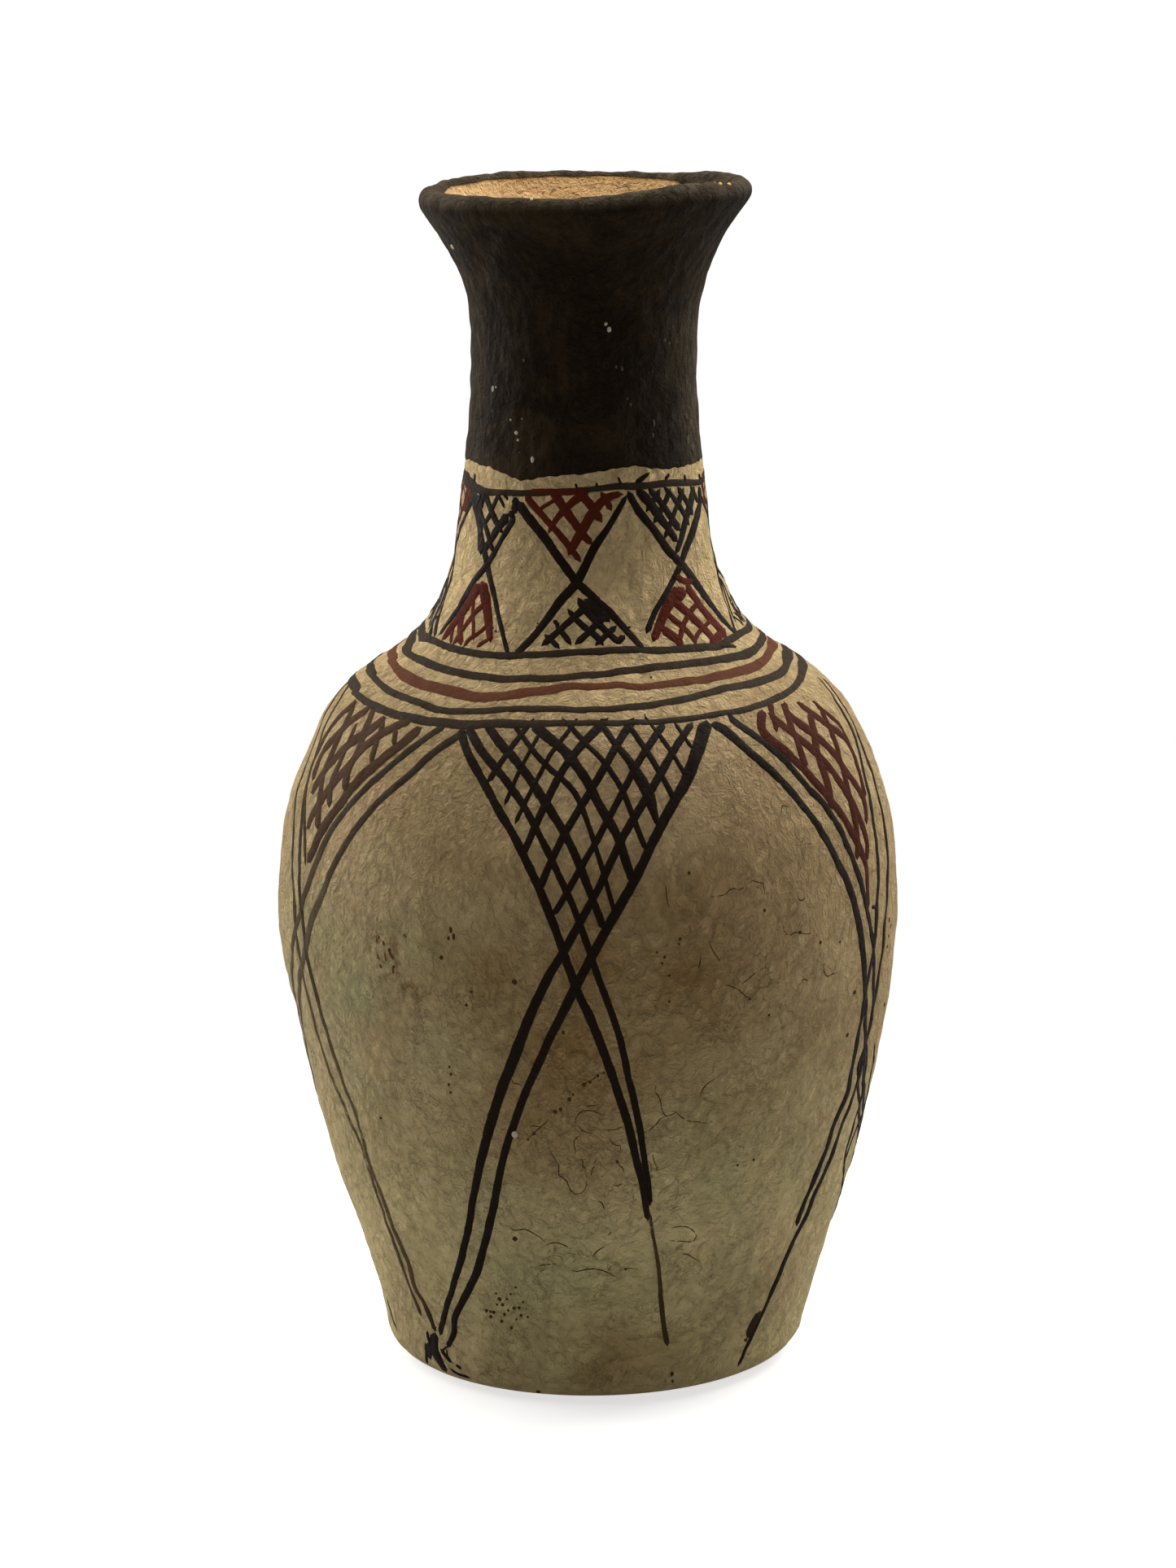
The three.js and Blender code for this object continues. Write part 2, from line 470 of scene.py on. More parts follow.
def makeWrinkleGroup():
    # wrinkles of dried slip: upright folds, level smears in patches, and thin creases between the folds
    group, net, vector, patchy, out = newGroup("slip wrinkles", {"Level": 0.3}, ["Height", "Creases"])
    upright, level = net.scaled(vector, 1.0, 1.0, 0.85), net.scaled(vector, 0.75, 0.75, 1.15)
    folds, smears = net.noise(upright, 360.0, 5, 0.66, 0.9), net.noise(level, 300.0, 5, 0.66, 0.9)
    share = net.ramp(net.plus(net.noise(vector, 38.0, 2), patchy), 0.72, 0.9)
    net.feed(out["Height"], net.plus(folds, net.times(share, net.less(smears, folds))))
    ridge = net.math("ABSOLUTE", net.less(net.noise(upright, 260.0, 4, 0.6, 1.0), 0.5))
    shown = net.ramp(net.noise(vector, 90.0, 3, 0.6), 0.42, 0.58)
    net.feed(out["Creases"], net.times(net.ramp(ridge, 0.016, 0.003), shown))
    return group


def makeCrazeGroup():
    # thin cracks: the edges of two sizes of wandering cells, broken up by a patchy mask
    group, net, vector, amount, out = newGroup("craze cracks", {"Amount": 0.5}, ["Cracks"])
    bend = net.add("TexNoise", {"Vector": vector, "Scale": 160.0, "Detail": 3.0}).outputs["Color"]
    shift = net.vector("SCALE", net.vector("SUBTRACT", bend, (0.5, 0.5, 0.5)).outputs[0])
    shift.inputs["Scale"].default_value = 0.006
    moved = net.vector("ADD", vector, shift.outputs[0]).outputs[0]
    parts = []
    for scale, wide, aside in ((95.0, 0.018, 0.0), (170.0, 0.024, 3.0)):
        cells = net.add("TexVoronoi", {"Vector": moved, "Scale": scale}, feature="DISTANCE_TO_EDGE")
        line = net.ramp(cells.outputs["Distance"], wide, wide * 0.25)
        patch = net.noise(net.vector("ADD", vector, (aside, aside, 0)).outputs[0], 110.0, 3, 0.6)
        threshold = net.less(0.76, net.times(amount, 0.3))
        parts.append(net.times(line, net.ramp(net.less(patch, threshold), 0.0, 0.12, 0.0, 0.6)))
    net.feed(out["Cracks"], net.math("MAXIMUM", *parts))
    return group


grainGroup, wrinkleGroup, crazeGroup = makeGrainGroup(), makeWrinkleGroup(), makeCrazeGroup()


def emptyNet(owner):
    owner.use_nodes = True
    owner.node_tree.nodes.clear()
    return Net(owner.node_tree)


def newMaterial(name, specular):
    # a shader joined to the output, its sockets, and the jug's own coordinates
    material = bpy.data.materials.new(name)
    net = emptyNet(material)
    shader = net.add("BsdfPrincipled")
    net.add("OutputMaterial", {"Surface": shader.outputs["BSDF"]})
    shader.inputs["Specular IOR Level"].default_value = specular
    place = net.add("TexCoord").outputs["Object"]
    return material, net, shader.inputs, place


creamSlip = {
    "tone": rgb(181, 156, 111),
    # paler slip in patches, and the painted highlight on the wrinkles' ridges
    "pale": rgb(202, 176, 130),
    "neck": rgb(238, 206, 149),  # paler above the shoulder
    "low": rgb(228, 210, 150),  # paler towards the foot
    "dull": rgb(162, 135, 90),
    "green": rgb(172, 167, 120),
    "pink": rgb(182, 145, 109),
    # colour of the brown wash: partly stains, partly painted shade
    "brown": rgb(144, 112, 64),
    "rust": rgb(120, 76, 44),
    # painted shade for the wrinkles' grooves, the creases and the low grain
    "grooveShade": rgb(112, 86, 50),
    # dirt in the cracks, and painted shade in the pits
    "crack": rgb(80, 56, 30),
    "neckHeights": (0.165, 0.2),  # metres, where the shoulder's look turns into the neck's
    "lowHeights": (0.1, 0.03),
    "bump": 0.0027,
    "neckBump": 1.7,
}


def makeCreamSlip():
    # cream with slow patches of paler and duller slip, washes from the coat's attributes (the brown one
    # partly painted shade), then painted highlight on the ridges of its wrinkles, painted shade in their
    # grooves, creases and pits, and dirt in its cracks
    look = creamSlip
    material, net, shader, place = newMaterial("cream slip", 0.15)
    grain = net.group(grainGroup, Vector=place)
    wrinkles = net.group(wrinkleGroup, Vector=place, Level=net.attribute("smeared"))
    cracks = net.group(crazeGroup, Vector=place, Amount=net.attribute("crazed"))["Cracks"]
    patches = net.noise(place, 28.0, 4, 0.6, 0.4)
    up = net.add("SeparateXYZ", {0: place}).outputs["Z"]
    specks = net.ramp(net.noise(place, 900.0, 2, 0.5), 0.67, 0.74)
    rust = net.times(net.attribute("rustWash"), net.ramp(net.noise(place, 420.0, 4, 0.6), 0.42, 0.62))
    colour = net.layered(
        look["dull"],
        (net.ramp(patches, 0.35, 0.68), look["pale"]),
        (0.45, look["tone"]),
        (net.ramp(up, *look["neckHeights"], 0.0, 0.85), look["neck"]),
        (net.ramp(up, *look["lowHeights"], 0.0, 0.65), look["low"]),
        # the green and pink washes are stains; the brown wash is partly stains, partly painted shade on the
        # front belly's middle and by the foot
        *[(net.attribute(wash + "Wash"), look[wash]) for wash in ("green", "pink", "brown")],
        # painted highlight on the wrinkles' ridges, painted shade in their grooves, in the creases and in the
        # low parts of the grain
        (net.times(net.ramp(wrinkles["Height"], 0.5, 0.68), 0.28), look["pale"]),
        (net.times(net.ramp(wrinkles["Height"], 0.5, 0.34), 0.26), look["grooveShade"]),
        (net.times(wrinkles["Creases"], 0.18), look["grooveShade"]),
        (net.ramp(grain["Height"], 0.5, 0.32, 0.0, 0.12), look["grooveShade"]),
        (net.times(specks, 0.4), look["rust"]),
        # painted shade in the pits
        (net.times(grain["Pits"], 0.22), look["crack"]),
        (rust, look["rust"]),
        (net.times(cracks, 0.8), look["crack"]),
    )
    net.feed(shader["Base Color"], colour)
    net.feed(shader["Roughness"], net.ramp(grain["Height"], 0.3, 0.7, 0.95, 0.8))
    cuts = net.math("MAXIMUM", net.times(wrinkles["Creases"], 0.9), cracks)
    height = net.plus(wrinkles["Height"], net.times(grain["Height"], 0.3))
    height = net.less(net.less(height, net.times(cuts, 0.16)), net.times(grain["Pits"], 0.14))
    height = net.times(height, net.ramp(up, *look["neckHeights"], 1.0, look["neckBump"]))
    net.feed(shader["Normal"], net.bump(height, look["bump"]))
    return material


darkSlip = {
    "tone": rgb(34, 25, 12),
    "brown": rgb(54, 42, 24),
    "grey": rgb(92, 84, 68),
    # pale tone of the dust and the painted sheen
    "dustAndSheen": rgb(96, 83, 62),
    "bump": 0.0034,
}


def makeDarkSlip():
    # brown-black slip with upright smoothing marks, browner patches, painted highlight on its wrinkles'
    # ridges, pale scuffs, and pale dust with painted sheen on the lip and the sides
    look = darkSlip
    material, net, shader, place = newMaterial("dark slip", 0.06)
    grain = net.group(grainGroup, Vector=place)["Height"]
    wrinkles = net.group(wrinkleGroup, Vector=place, Level=0.0)["Height"]
    marks = net.noise(net.scaled(place, 1.0, 1.0, 0.35), 520.0, 3, 0.6)
    patches = net.noise(place, 60.0, 4, 0.65, 0.6)
    scuff = net.times(net.ramp(net.noise(place, 130.0, 5, 0.75), 0.62, 0.72), net.ramp(marks, 0.5, 0.62))
    dustAndSheen = net.plus(net.times(wrinkles, 0.6), net.times(marks, 0.6))
    colour = net.layered(
        look["tone"],
        (net.ramp(patches, 0.4, 0.7), look["brown"]),
        # painted highlight: the ridges of the wrinkles turn browner
        (net.ramp(wrinkles, 0.5, 0.7, 0.0, 0.5), look["brown"]),
        (net.times(scuff, 0.4), look["grey"]),
        # pale dust with painted sheen on the lip and where the neck turns away at the sides
        (net.times(net.attribute("sheenAndDustShare"), net.ramp(dustAndSheen, 0.4, 0.72, 0.35, 1.0)), look["dustAndSheen"]),
    )
    net.feed(shader["Base Color"], colour)
    net.feed(shader["Roughness"], net.ramp(marks, 0.3, 0.7, 0.8, 0.65))
    height = net.plus(net.plus(net.times(grain, 0.3), net.times(marks, 0.3)), net.times(wrinkles, 0.7))
    net.feed(shader["Normal"], net.bump(height, look["bump"]))
    return material


bareClay = {"tone": rgb(208, 170, 116), "deep": rgb(180, 134, 80), "grit": rgb(84, 56, 32), "bump": 0.002}


def makeBareClay():
    # fired clay: patches of two oranges, dark grit, a rough wiped grain, and painted shade in its pits and
    # low grain
    look = bareClay
    material, net, shader, place = newMaterial("bare clay", 0.25)
    grain = net.group(grainGroup, Vector=place, Size=1.1)
    grit = net.ramp(net.noise(place, 1300.0, 2, 0.5), 0.64, 0.72)
    colour = net.layered(
        look["tone"],
        (net.ramp(net.noise(place, 70.0, 4, 0.6, 0.5), 0.35, 0.7), look["deep"]),
        (0.5, look["tone"]),
        (net.times(grit, 0.75), look["grit"]),
        # painted shade in the pits and the low parts of the grain
        (net.times(grain["Pits"], 0.55), look["grit"]),
        (net.ramp(grain["Height"], 0.5, 0.34, 0.0, 0.5), look["grit"]),
    )
    net.feed(shader["Base Color"], colour)
    shader["Roughness"].default_value = 0.93
    height = net.less(grain["Height"], net.times(grain["Pits"], 0.6))
    net.feed(shader["Normal"], net.bump(height, look["bump"]))
    return material


paints = {
    # tone where the paint is thick, tone where it is thin, and roughness
    "dark paint": ((30, 21, 12), (78, 58, 36), 0.65),
    # lighter copies of the dark and red paints, for the shoulder bands and the left lines: partly weathered
    # paint, partly painted sheen of the light on them
    "weathered and sheen-lit dark paint": ((50, 40, 28), (92, 76, 52), 0.75),
    "red paint": ((80, 30, 15), (112, 62, 40), 0.72),
    "weathered and sheen-lit red paint": ((88, 52, 33), (122, 86, 58), 0.8),
    "brown paint": ((66, 47, 30), (92, 70, 46), 0.8),
    # darker copy of the red paint for the hatch on the right side: painted shade
    "shaded red paint": ((64, 27, 13), (96, 54, 34), 0.75),
    "crack shade": ((74, 53, 29), (104, 80, 48), 0.9),
    "rust": ((98, 62, 38), (134, 96, 60), 0.9),
    "pale chip": ((190, 178, 150), (140, 124, 96), 0.9),
    "scuff": ((84, 76, 60), (60, 52, 38), 0.8),
    "clay chip": ((190, 148, 100), (140, 104, 68), 0.9),
}


def makePaint(name):
    # brushed earth paint: the load of the brush thins it along the stroke, bristles break its edges
    tone, thin, rough = paints[name]
    material, net, shader, place = newMaterial(name, 0.06)
    uv = net.add("UVMap", uv_map="stroke").outputs[0]
    across = net.math("ABSOLUTE", net.add("SeparateXYZ", {"Vector": uv}).outputs["Y"])
    streaks = net.noise(net.scaled(uv, 0.35, 3.2, 1.0), 2.2, 3, 0.65)
    flecks = net.noise(place, 620.0, 3, 0.65)
    # cover: brush load against the noise, less towards the edge of the stroke
    wear = net.plus(net.times(streaks, 0.55), net.times(flecks, 0.45))
    bare = net.plus(net.ramp(across, 0.72, 1.14, 0.0, 0.62), net.times(wear, 0.95))
    cover = net.less(net.plus(net.attribute("load"), 0.12), bare)
    thick = net.ramp(net.plus(net.times(cover, 0.8), net.times(flecks, 0.5)), 0.25, 0.65)
    net.feed(shader["Base Color"], net.mix(thick, rgb(*thin), rgb(*tone)))
    net.feed(shader["Alpha"], net.ramp(cover, -0.07, 0.06))
    net.feed(shader["Roughness"], net.ramp(flecks, 0.3, 0.7, rough + 0.1, rough - 0.1))
    grain = net.group(grainGroup, Vector=place)["Height"]
    wrinkles = net.group(wrinkleGroup, Vector=place, Level=0.0)["Height"]
    net.feed(shader["Normal"], net.bump(net.plus(grain, wrinkles), 0.0006, 0.8))
    return material


creamSlipMaterial, darkSlipMaterial, bareClayMaterial = makeCreamSlip(), makeDarkSlip(), makeBareClay()
paintMaterials = {name: makePaint(name) for name in paints}
print("materials ready")

# Clay body: the base slab and the coils, refined, under the slip

clay = {
    "columns": 192,
    "outsideRows": 14,
    "insideRows": 16,
    "lipSteps": 12,
    "sunk": 0.4,  # depth of the clay's face under the slip
    "fingerMarks": 0.35,  # height of the marks inside
}

clayTurn = np.linspace(0, 2 * pi, clay["columns"], endpoint=False)[None, :]


def turned(section, outward, high):
    # section turned round the axis; each of its points moves along its outward vector by its height
    return placed(section[:, :1] + outward[:, :1] * high, clayTurn, section[:, 1:] + outward[:, 1:] * high)


def onSection(section):
    # x, y and z of the points of a turned section
    x, y = section[:, :1] * np.sin(clayTurn), -section[:, :1] * np.cos(clayTurn)
    return x, y, np.broadcast_to(section[:, 1:], x.shape)


def makeCoil(index, name):
    # section up the outside, over the slanting joint or the lip, and down the inside, as in the CAD;
    # relief where the slip covers it, finger marks elsewhere
    bottom, top = jointAt[index : index + 2]
    joints, half, gap = jointWalls[index : index + 2], wall["lap"] / 2, wall["slipGap"]
    slips = gap * np.hypot(wall["lap"], joints) / joints / 2
    onSlab, atMouth = index == 0, index == len(coilNames) - 1
    starts = [bottom + gap] * 2 if onSlab else [bottom + half + slips[0], bottom - half + slips[0]]
    ends = [top] * 2 if atMouth else [top + half - slips[1], top - half - slips[1]]
    outsideDistance = np.linspace(starts[0], ends[0], clay["outsideRows"])
    insideDistance = np.linspace(ends[1], starts[1], clay["insideRows"])
    outside, inside = outsideAt(outsideDistance), insideAt(insideDistance)
    if onSlab:
        inside[-1, 1] = outside[0, 1]
    lip = lipArc(clay["lipSteps"]) if atMouth else np.zeros((0, 2))
    outwardLip = (lip - (outside[-1] + inside[0]) / 2) / (wall["mouthWall"] / 2)
    section = np.vstack([outside, lip, inside])
    outward = np.vstack([-inwardAt(outsideDistance), outwardLip, inwardAt(insideDistance)])
    first = len(outside) + len(lip)
    fromStart = insideDistance - insideDistance.min()
    fromEnd = insideDistance.max() - insideDistance
    covered, soft = np.ones((len(section), 1)), np.zeros((len(section), 1))
    covered[first:, 0] = 1 - smoothStep(2, 12, outlineLength[-1] - insideDistance) if atMouth else 0
    soft[first:, 0] = smoothStep(0, 2.5, fromStart if atMouth else np.minimum(fromStart, fromEnd))
    x, y, z = onSection(section)
    fingers = lumps(x, y, z * 2.4, 22, 71 + index) * 0.6 + lumps(x, y, z * 1.5, 7, 72) * 0.3
    high = covered * (reliefAt(x, y, z) - clay["sunk"])
    high = high + (1 - covered) * soft * fingers * clay["fingerMarks"]
    faces = gridFaces(len(section), clay["columns"])
    piece = makePiece(name + "_clay", turned(section, outward, high), faces, bareClayMaterial)
    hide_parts(name)


slab = {"underRings": 10, "arcSteps": 24, "floorRings": 22, "middle": 3, "hollow": 0.25, "swirl": 2.1}


def makeBaseSlab():
    # flat underside, foot arc and floor with a swirl, closed at the middle by one point below and one above
    below, above = slab["underRings"], slab["floorRings"]
    arc = footArc(slab["arcSteps"])
    under = np.stack([np.linspace(slab["middle"], arc[0, 0] - 3, below), np.zeros(below)], -1)
    floor = np.linspace(footRadius - 2, slab["middle"], above)
    section = np.vstack([under, arc, np.stack([floor, 0 * floor + wall["slabThickness"]], -1)])
    turn = np.linspace(-pi / 2, 0, len(arc))
    outwardArc = np.stack([np.cos(turn), np.sin(turn)], -1)
    outward = np.vstack([np.tile([0, -1.0], (below, 1)), outwardArc, np.tile([0, 1.0], (above, 1))])
    x, y, z = onSection(section)
    covered = np.concatenate([0 * under[:, 0], smoothStep(0, 0.15, np.linspace(0, 1, len(arc))), 0 * floor])
    high = covered[:, None] * (reliefAt(x, y, z) - clay["sunk"])
    r, low, top = section[:, :1], slice(0, below), slice(below + len(arc), None)
    high[low] -= slab["hollow"] * (1 + lumps(x[low], y[low], z[low], 14, 81)) * smoothStep(40, 30, r[low])
    swirl = np.sin(r[top] / slab["swirl"] + clayTurn)
    high[top] += (0.25 * swirl - 0.3) * smoothStep(2, 8, r[top]) * smoothStep(51, 44, r[top])
    rings = turned(section, outward, high).reshape(-1, 3)
    count, columns = len(rings), clay["columns"]
    around = np.arange(columns)
    after, last = (around + 1) % columns, count - columns
    faces = gridFaces(len(section), columns, False).tolist()
    faces += [[count, b, a] for a, b in zip(around, after)]
    faces += [[count + 1, last + a, last + b] for a, b in zip(around, after)]
    points = np.vstack([rings, placed(0.0, 0.0, 0.1), placed(0.0, 0.0, wall["slabThickness"] - 0.05)])
    piece = makePiece("base_slab_clay", points, faces, bareClayMaterial)
    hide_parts("base_slab")


makeBaseSlab()
for index, name in enumerate(coilNames):
    makeCoil(index, name)
print("clay pieces made")

# Slip coats

darkCoat = {
    # lower edge of the dark coat on the picture, left to right
    "edge": """
        580,570 600,577 620,586 632,590 640,594 655,592 680,588 700,586 720,586 740,582 760,578 775,576
        790,577 800,579 820,579 840,577 850,573 860,569
    """,
    "columns": 380,
    "rows": 170,
    "thick": 0.3,
    "lift": 0.14,
    "marks": [(2.4, 0.35, 0.035), (5.0, 0.35, 0.05)],  # smoothing marks: size, stretch upright, height
    # how far past the lip's inner edge it ends, inside the mouth: degrees round, millimetres
    "insideReach": "-180,-0.5 -120,0 -90,0.8 0,0 60,3 88,9 112,6.5 130,2.5 142,0.6 155,-0.2",
}

creamCoat = {
    "columns": 360,
    "rows": 190,
    "thick": 0.32,
    "lift": 0.0,
    "marks": [],
    "meeting": 142,  # height where its lower and upper pieces meet
    "under": 3.5,  # how far it goes under the dark coat
}


def coatTurn(coat):
    # angles of a coat's columns, evenly round the jug
    return np.linspace(0, 2 * pi, coat["columns"], endpoint=False)[None, :]


def closedEdge(angle, value, wobble, seed):
    # edge height for every angle: read in front, joined round the back with a seeded wobble
    order = np.argsort(angle)
    angle, value = angle[order], value[order]
    gap = 2 * pi - (angle[-1] - angle[0])
    t = np.linspace(0, 1, 9)[1:-1]
    draw = np.random.default_rng(seed)
    back = value[-1] + (value[0] - value[-1]) * t + draw.normal(0, wobble, t.size) * np.sin(pi * t) ** 0.5
    return np.append(angle, angle[-1] + gap * t), np.append(value, back)


def darkEdgeAt(angle):
    # distance along the skin of the dark coat's lower edge
    knots, values = closedEdge(*castPixels(numbers(darkCoat["edge"]).reshape(-1, 2)), 1.3, 5)
    start = np.interp(angle, knots, values, period=2 * pi)
    return start + 0.2 * np.sin(angle * 23) * np.sin(angle * 9 + 1) + 0.1 * np.sin(angle * 61)


def makeCoat(name, start, end, coat, material, slot, thinStart=True, thinEnd=True):
    # outer face from start to end, then the inner face back; a free end is drawn in to a thin edge
    # the first and last rows lie close to the ends, so that a joint between two coats shades flat
    angle = coatTurn(coat)
    share = np.concatenate([[0, 0.0003], np.linspace(0, 1, coat["rows"] - 2)[1:-1], [0.9997, 1]])[:, None]
    along = start + (end - start) * share
    nearEnd = np.minimum(along - start if thinStart else 9, end - along if thinEnd else 9)
    top = coat["lift"] - (coat["thick"] * 0.75) * (1 - smoothStep(0, 1.4, nearEnd))
    r, z = onSkin(along)
    for i, (size, stretch, high) in enumerate(coat["marks"]):
        fade = smoothStep(2, 7, nearEnd) * smoothStep(292, 280, z)
        top = top + high * fade * lumps(r * np.sin(angle), -r * np.cos(angle), z * stretch, size, 60 + i)
    alongBack = start + (end - start) * np.linspace(0.9997, 0.0003, coat["rows"] // 3)[:, None]
    outerFace = skin(np.broadcast_to(angle, along.shape), along, top)
    under = coat["lift"] - coat["thick"] + 0 * alongBack
    points = np.vstack([outerFace, skin(np.broadcast_to(angle, alongBack.shape), alongBack, under)])
    piece = makePiece(name, points, gridFaces(len(points), coat["columns"]), material)
    return piece, points, np.vstack([along, alongBack])


def makeCreamCoat():
    # two pieces that meet at the widest place; the upper one ends a little under the dark coat
    angle = coatTurn(creamCoat)
    foot = 0.8 + 0.5 * np.sin(angle * 3 + 1) * np.sin(angle * 7)
    belly = alongAtHeight(creamCoat["meeting"]) + 0 * angle
    end = darkEdgeAt(angle) + creamCoat["under"]
    rest = (creamCoat, creamSlipMaterial, "cream_slip")
    return [
        makeCoat("cream_slip_lower_coat", foot, belly, *rest, thinEnd=False)[:2],
        makeCoat("cream_slip_upper_coat", belly, end, *rest, thinStart=False)[:2],
    ]


washes = {
    # strength behind, size of the breaks and seed; then each spot's place on the picture, its reach
    # in millimetres and its strength
    "greenWash": (0.6, 24, 101, """
        420,1220,36,0.6 400,1320,22,0.5 870,1560,36,0.6 700,1600,36,0.55 860,1440,26,0.5
        600,1480,18,0.35 1000,1350,16,0.3"""),
    "pinkWash": (0.4, 20, 103, """
        520,1620,22,0.5 860,1000,26,0.35 960,1560,22,0.4 430,1000,16,0.5 700,1400,16,0.4
        900,1120,20,0.4"""),
    # partly stains, partly painted shade: the dark middle of the front belly and the underside by the foot
    "brownWash": (0.4, 26, 109, """
        790,1185,25,0.95 730,1300,22,0.75 610,1210,14,0.6 690,1400,16,0.6 880,1080,22,0.25
        780,1700,24,0.8 640,1700,14,0.5 900,1620,14,0.4 560,1060,12,0.35 960,850,10,0.3"""),
    "rustWash": (0.0, 6, 105, "470,1165,5.5,0.9 478,1185,4.5,0.9 502,1224,4.5,0.8 475,1243,4,0.5"),
    "crazed": (0.8, 30, 107, """
        880,1250,45,0.75 720,1420,30,0.85 850,1500,38,0.6 1000,1080,30,0.6 560,1420,16,0.3
        450,1100,16,0.45 700,1530,26,0.7"""),
    "smeared": (0.3, 30, 111, "720,1600,60,0.35 650,830,26,0.25 500,1450,40,0.25"),
}


def washMask(points, back, size, seed, spots):
    # soft round spots at places read from the picture, broken up by lumps; the back gets its own
    x, y, z = np.moveaxis(points, -1, 0)
    spots = numbers(spots).reshape(-1, 4)
    total = np.zeros(x.shape)
    for centre, (reach, strength) in zip(skin(*castPixels(spots[:, :2])), spots[:, 2:]):
        far = np.linalg.norm(points - centre, axis=-1)
        total = np.maximum(total, strength * np.exp(-((far / reach) ** 2)))
    patchy = 0.75 + 0.35 * lumps(x, y, z, size, seed)
    behind = smoothStep(-10, 30, y) * back * smoothStep(0.1, 1.2, lumps(x, y, z, 55, seed + 1))
    return np.clip(np.maximum(total, behind) * patchy, 0, 1)


creamPieces = makeCreamCoat()
for key, wash in washes.items():
    for piece, points in creamPieces:
        addAttribute(piece, key, washMask(points, *wash) + (0.1 if key == "crazed" else 0))
print("cream slip made")


def makeDarkCoat():
    # from its lower edge over the lip to a wavy line inside the mouth
    angle = coatTurn(darkCoat)
    rimAt = alongAtHeight(wall["rimHeight"])
    turns, reach = numbers(darkCoat["insideReach"]).reshape(-1, 2).T
    end = rimAt + wall["mouthWall"] / 2 * pi + np.interp(np.degrees(angle), turns, reach, period=360)
    end = end + 0.4 * np.sin(angle * 9) * np.sin(angle * 5 + 2)
    rest = (darkCoat, darkSlipMaterial, "dark_slip")
    piece, points, along = makeCoat("dark_slip_coat", darkEdgeAt(angle), end, *rest)
    x, y, z = np.moveaxis(points, -1, 0)
    # pale dust and painted sheen on the lip and inside it, on the right side and thinly on the left
    degrees = np.degrees(np.arctan2(x, -y))
    lip = smoothStep(0.6, 2.4, along - rimAt) * 0.5
    right = smoothStep(48, 82, degrees) * smoothStep(140, 100, degrees) * smoothStep(276, 255, z) * 0.75
    left = smoothStep(-50, -84, degrees) * smoothStep(-150, -110, degrees) * 0.3
    sheenAndDustShare = np.maximum(lip, np.maximum(right, left)) * (0.85 + 0.25 * lumps(x, y, z, 9, 113))
    addAttribute(piece, "sheenAndDustShare", np.clip(sheenAndDustShare, 0, 1))


makeDarkCoat()
print("dark slip made")

# Brush strokes
# Each row is one stroke: its widths in pixels, @ the load of the brush where it isn't full, a colon, its
# places on the picture, and > the end that the picture can't show. A deeper row goes on with it.
# Several widths or loads are spread evenly along the stroke.

bands = """
8 10 8 8 6 8 9.5 9.5 8: 571,588 578,595 585,600 600,605 620,605 640,606 660,606 680,605 700,603.5 720,602
    740,600 760,597.5 780,598 800,596 820,594 840,593 860,592
9: 513,780 525,785 535,788 547,794 560,798 580,802 600,804.5 620,805.5 640,805 660,804.5 700,802 740,799.5
    780,798 800,799 840,797 860,796 883,794 893,788 903,783 910,778 922,769
9: 499,786 499,795 503,804 520,813 540,821 560,826 580,829.5 600,832 620,834 660,834 700,832 720,829 740,828
    780,823 820,818 860,813.5 900,808.5 920,803 930,795 937,785
9 11 12 12 13 12 14 9 9 9 9 10 9 8 @ 0.97: 481,808 485,817 490,824 500,832 520,841 540,846 560,850 580,855
    600,856 620,855 640,852 680,846.5 700,843.5 740,843 760,842 780,844.5 800,843 840,838 880,832 920,822
    938,812 946,800 949,790
8: 456,824 462,835 470,843 480,850 500,858 520,865 540,872 560,873.5 600,873 640,871 680,871.5 720,872.5
    760,870 800,866 840,859 880,849 920,841 940,836 958,828 966,818 967,806
8 8 9 10 10 10.5 11 11 11 8 7.5 7.5 7.5 7 7 7.5 8 8 7.5 7: 438,848 441,855 450,862 460,867 480,876 500,881
    520,884.5 540,887 580,890 620,889 700,889 740,888 800,887 820,885.5 860,881 900,875.5 920,871 940,864
    960,855 975,845 984,832 986,818
"""

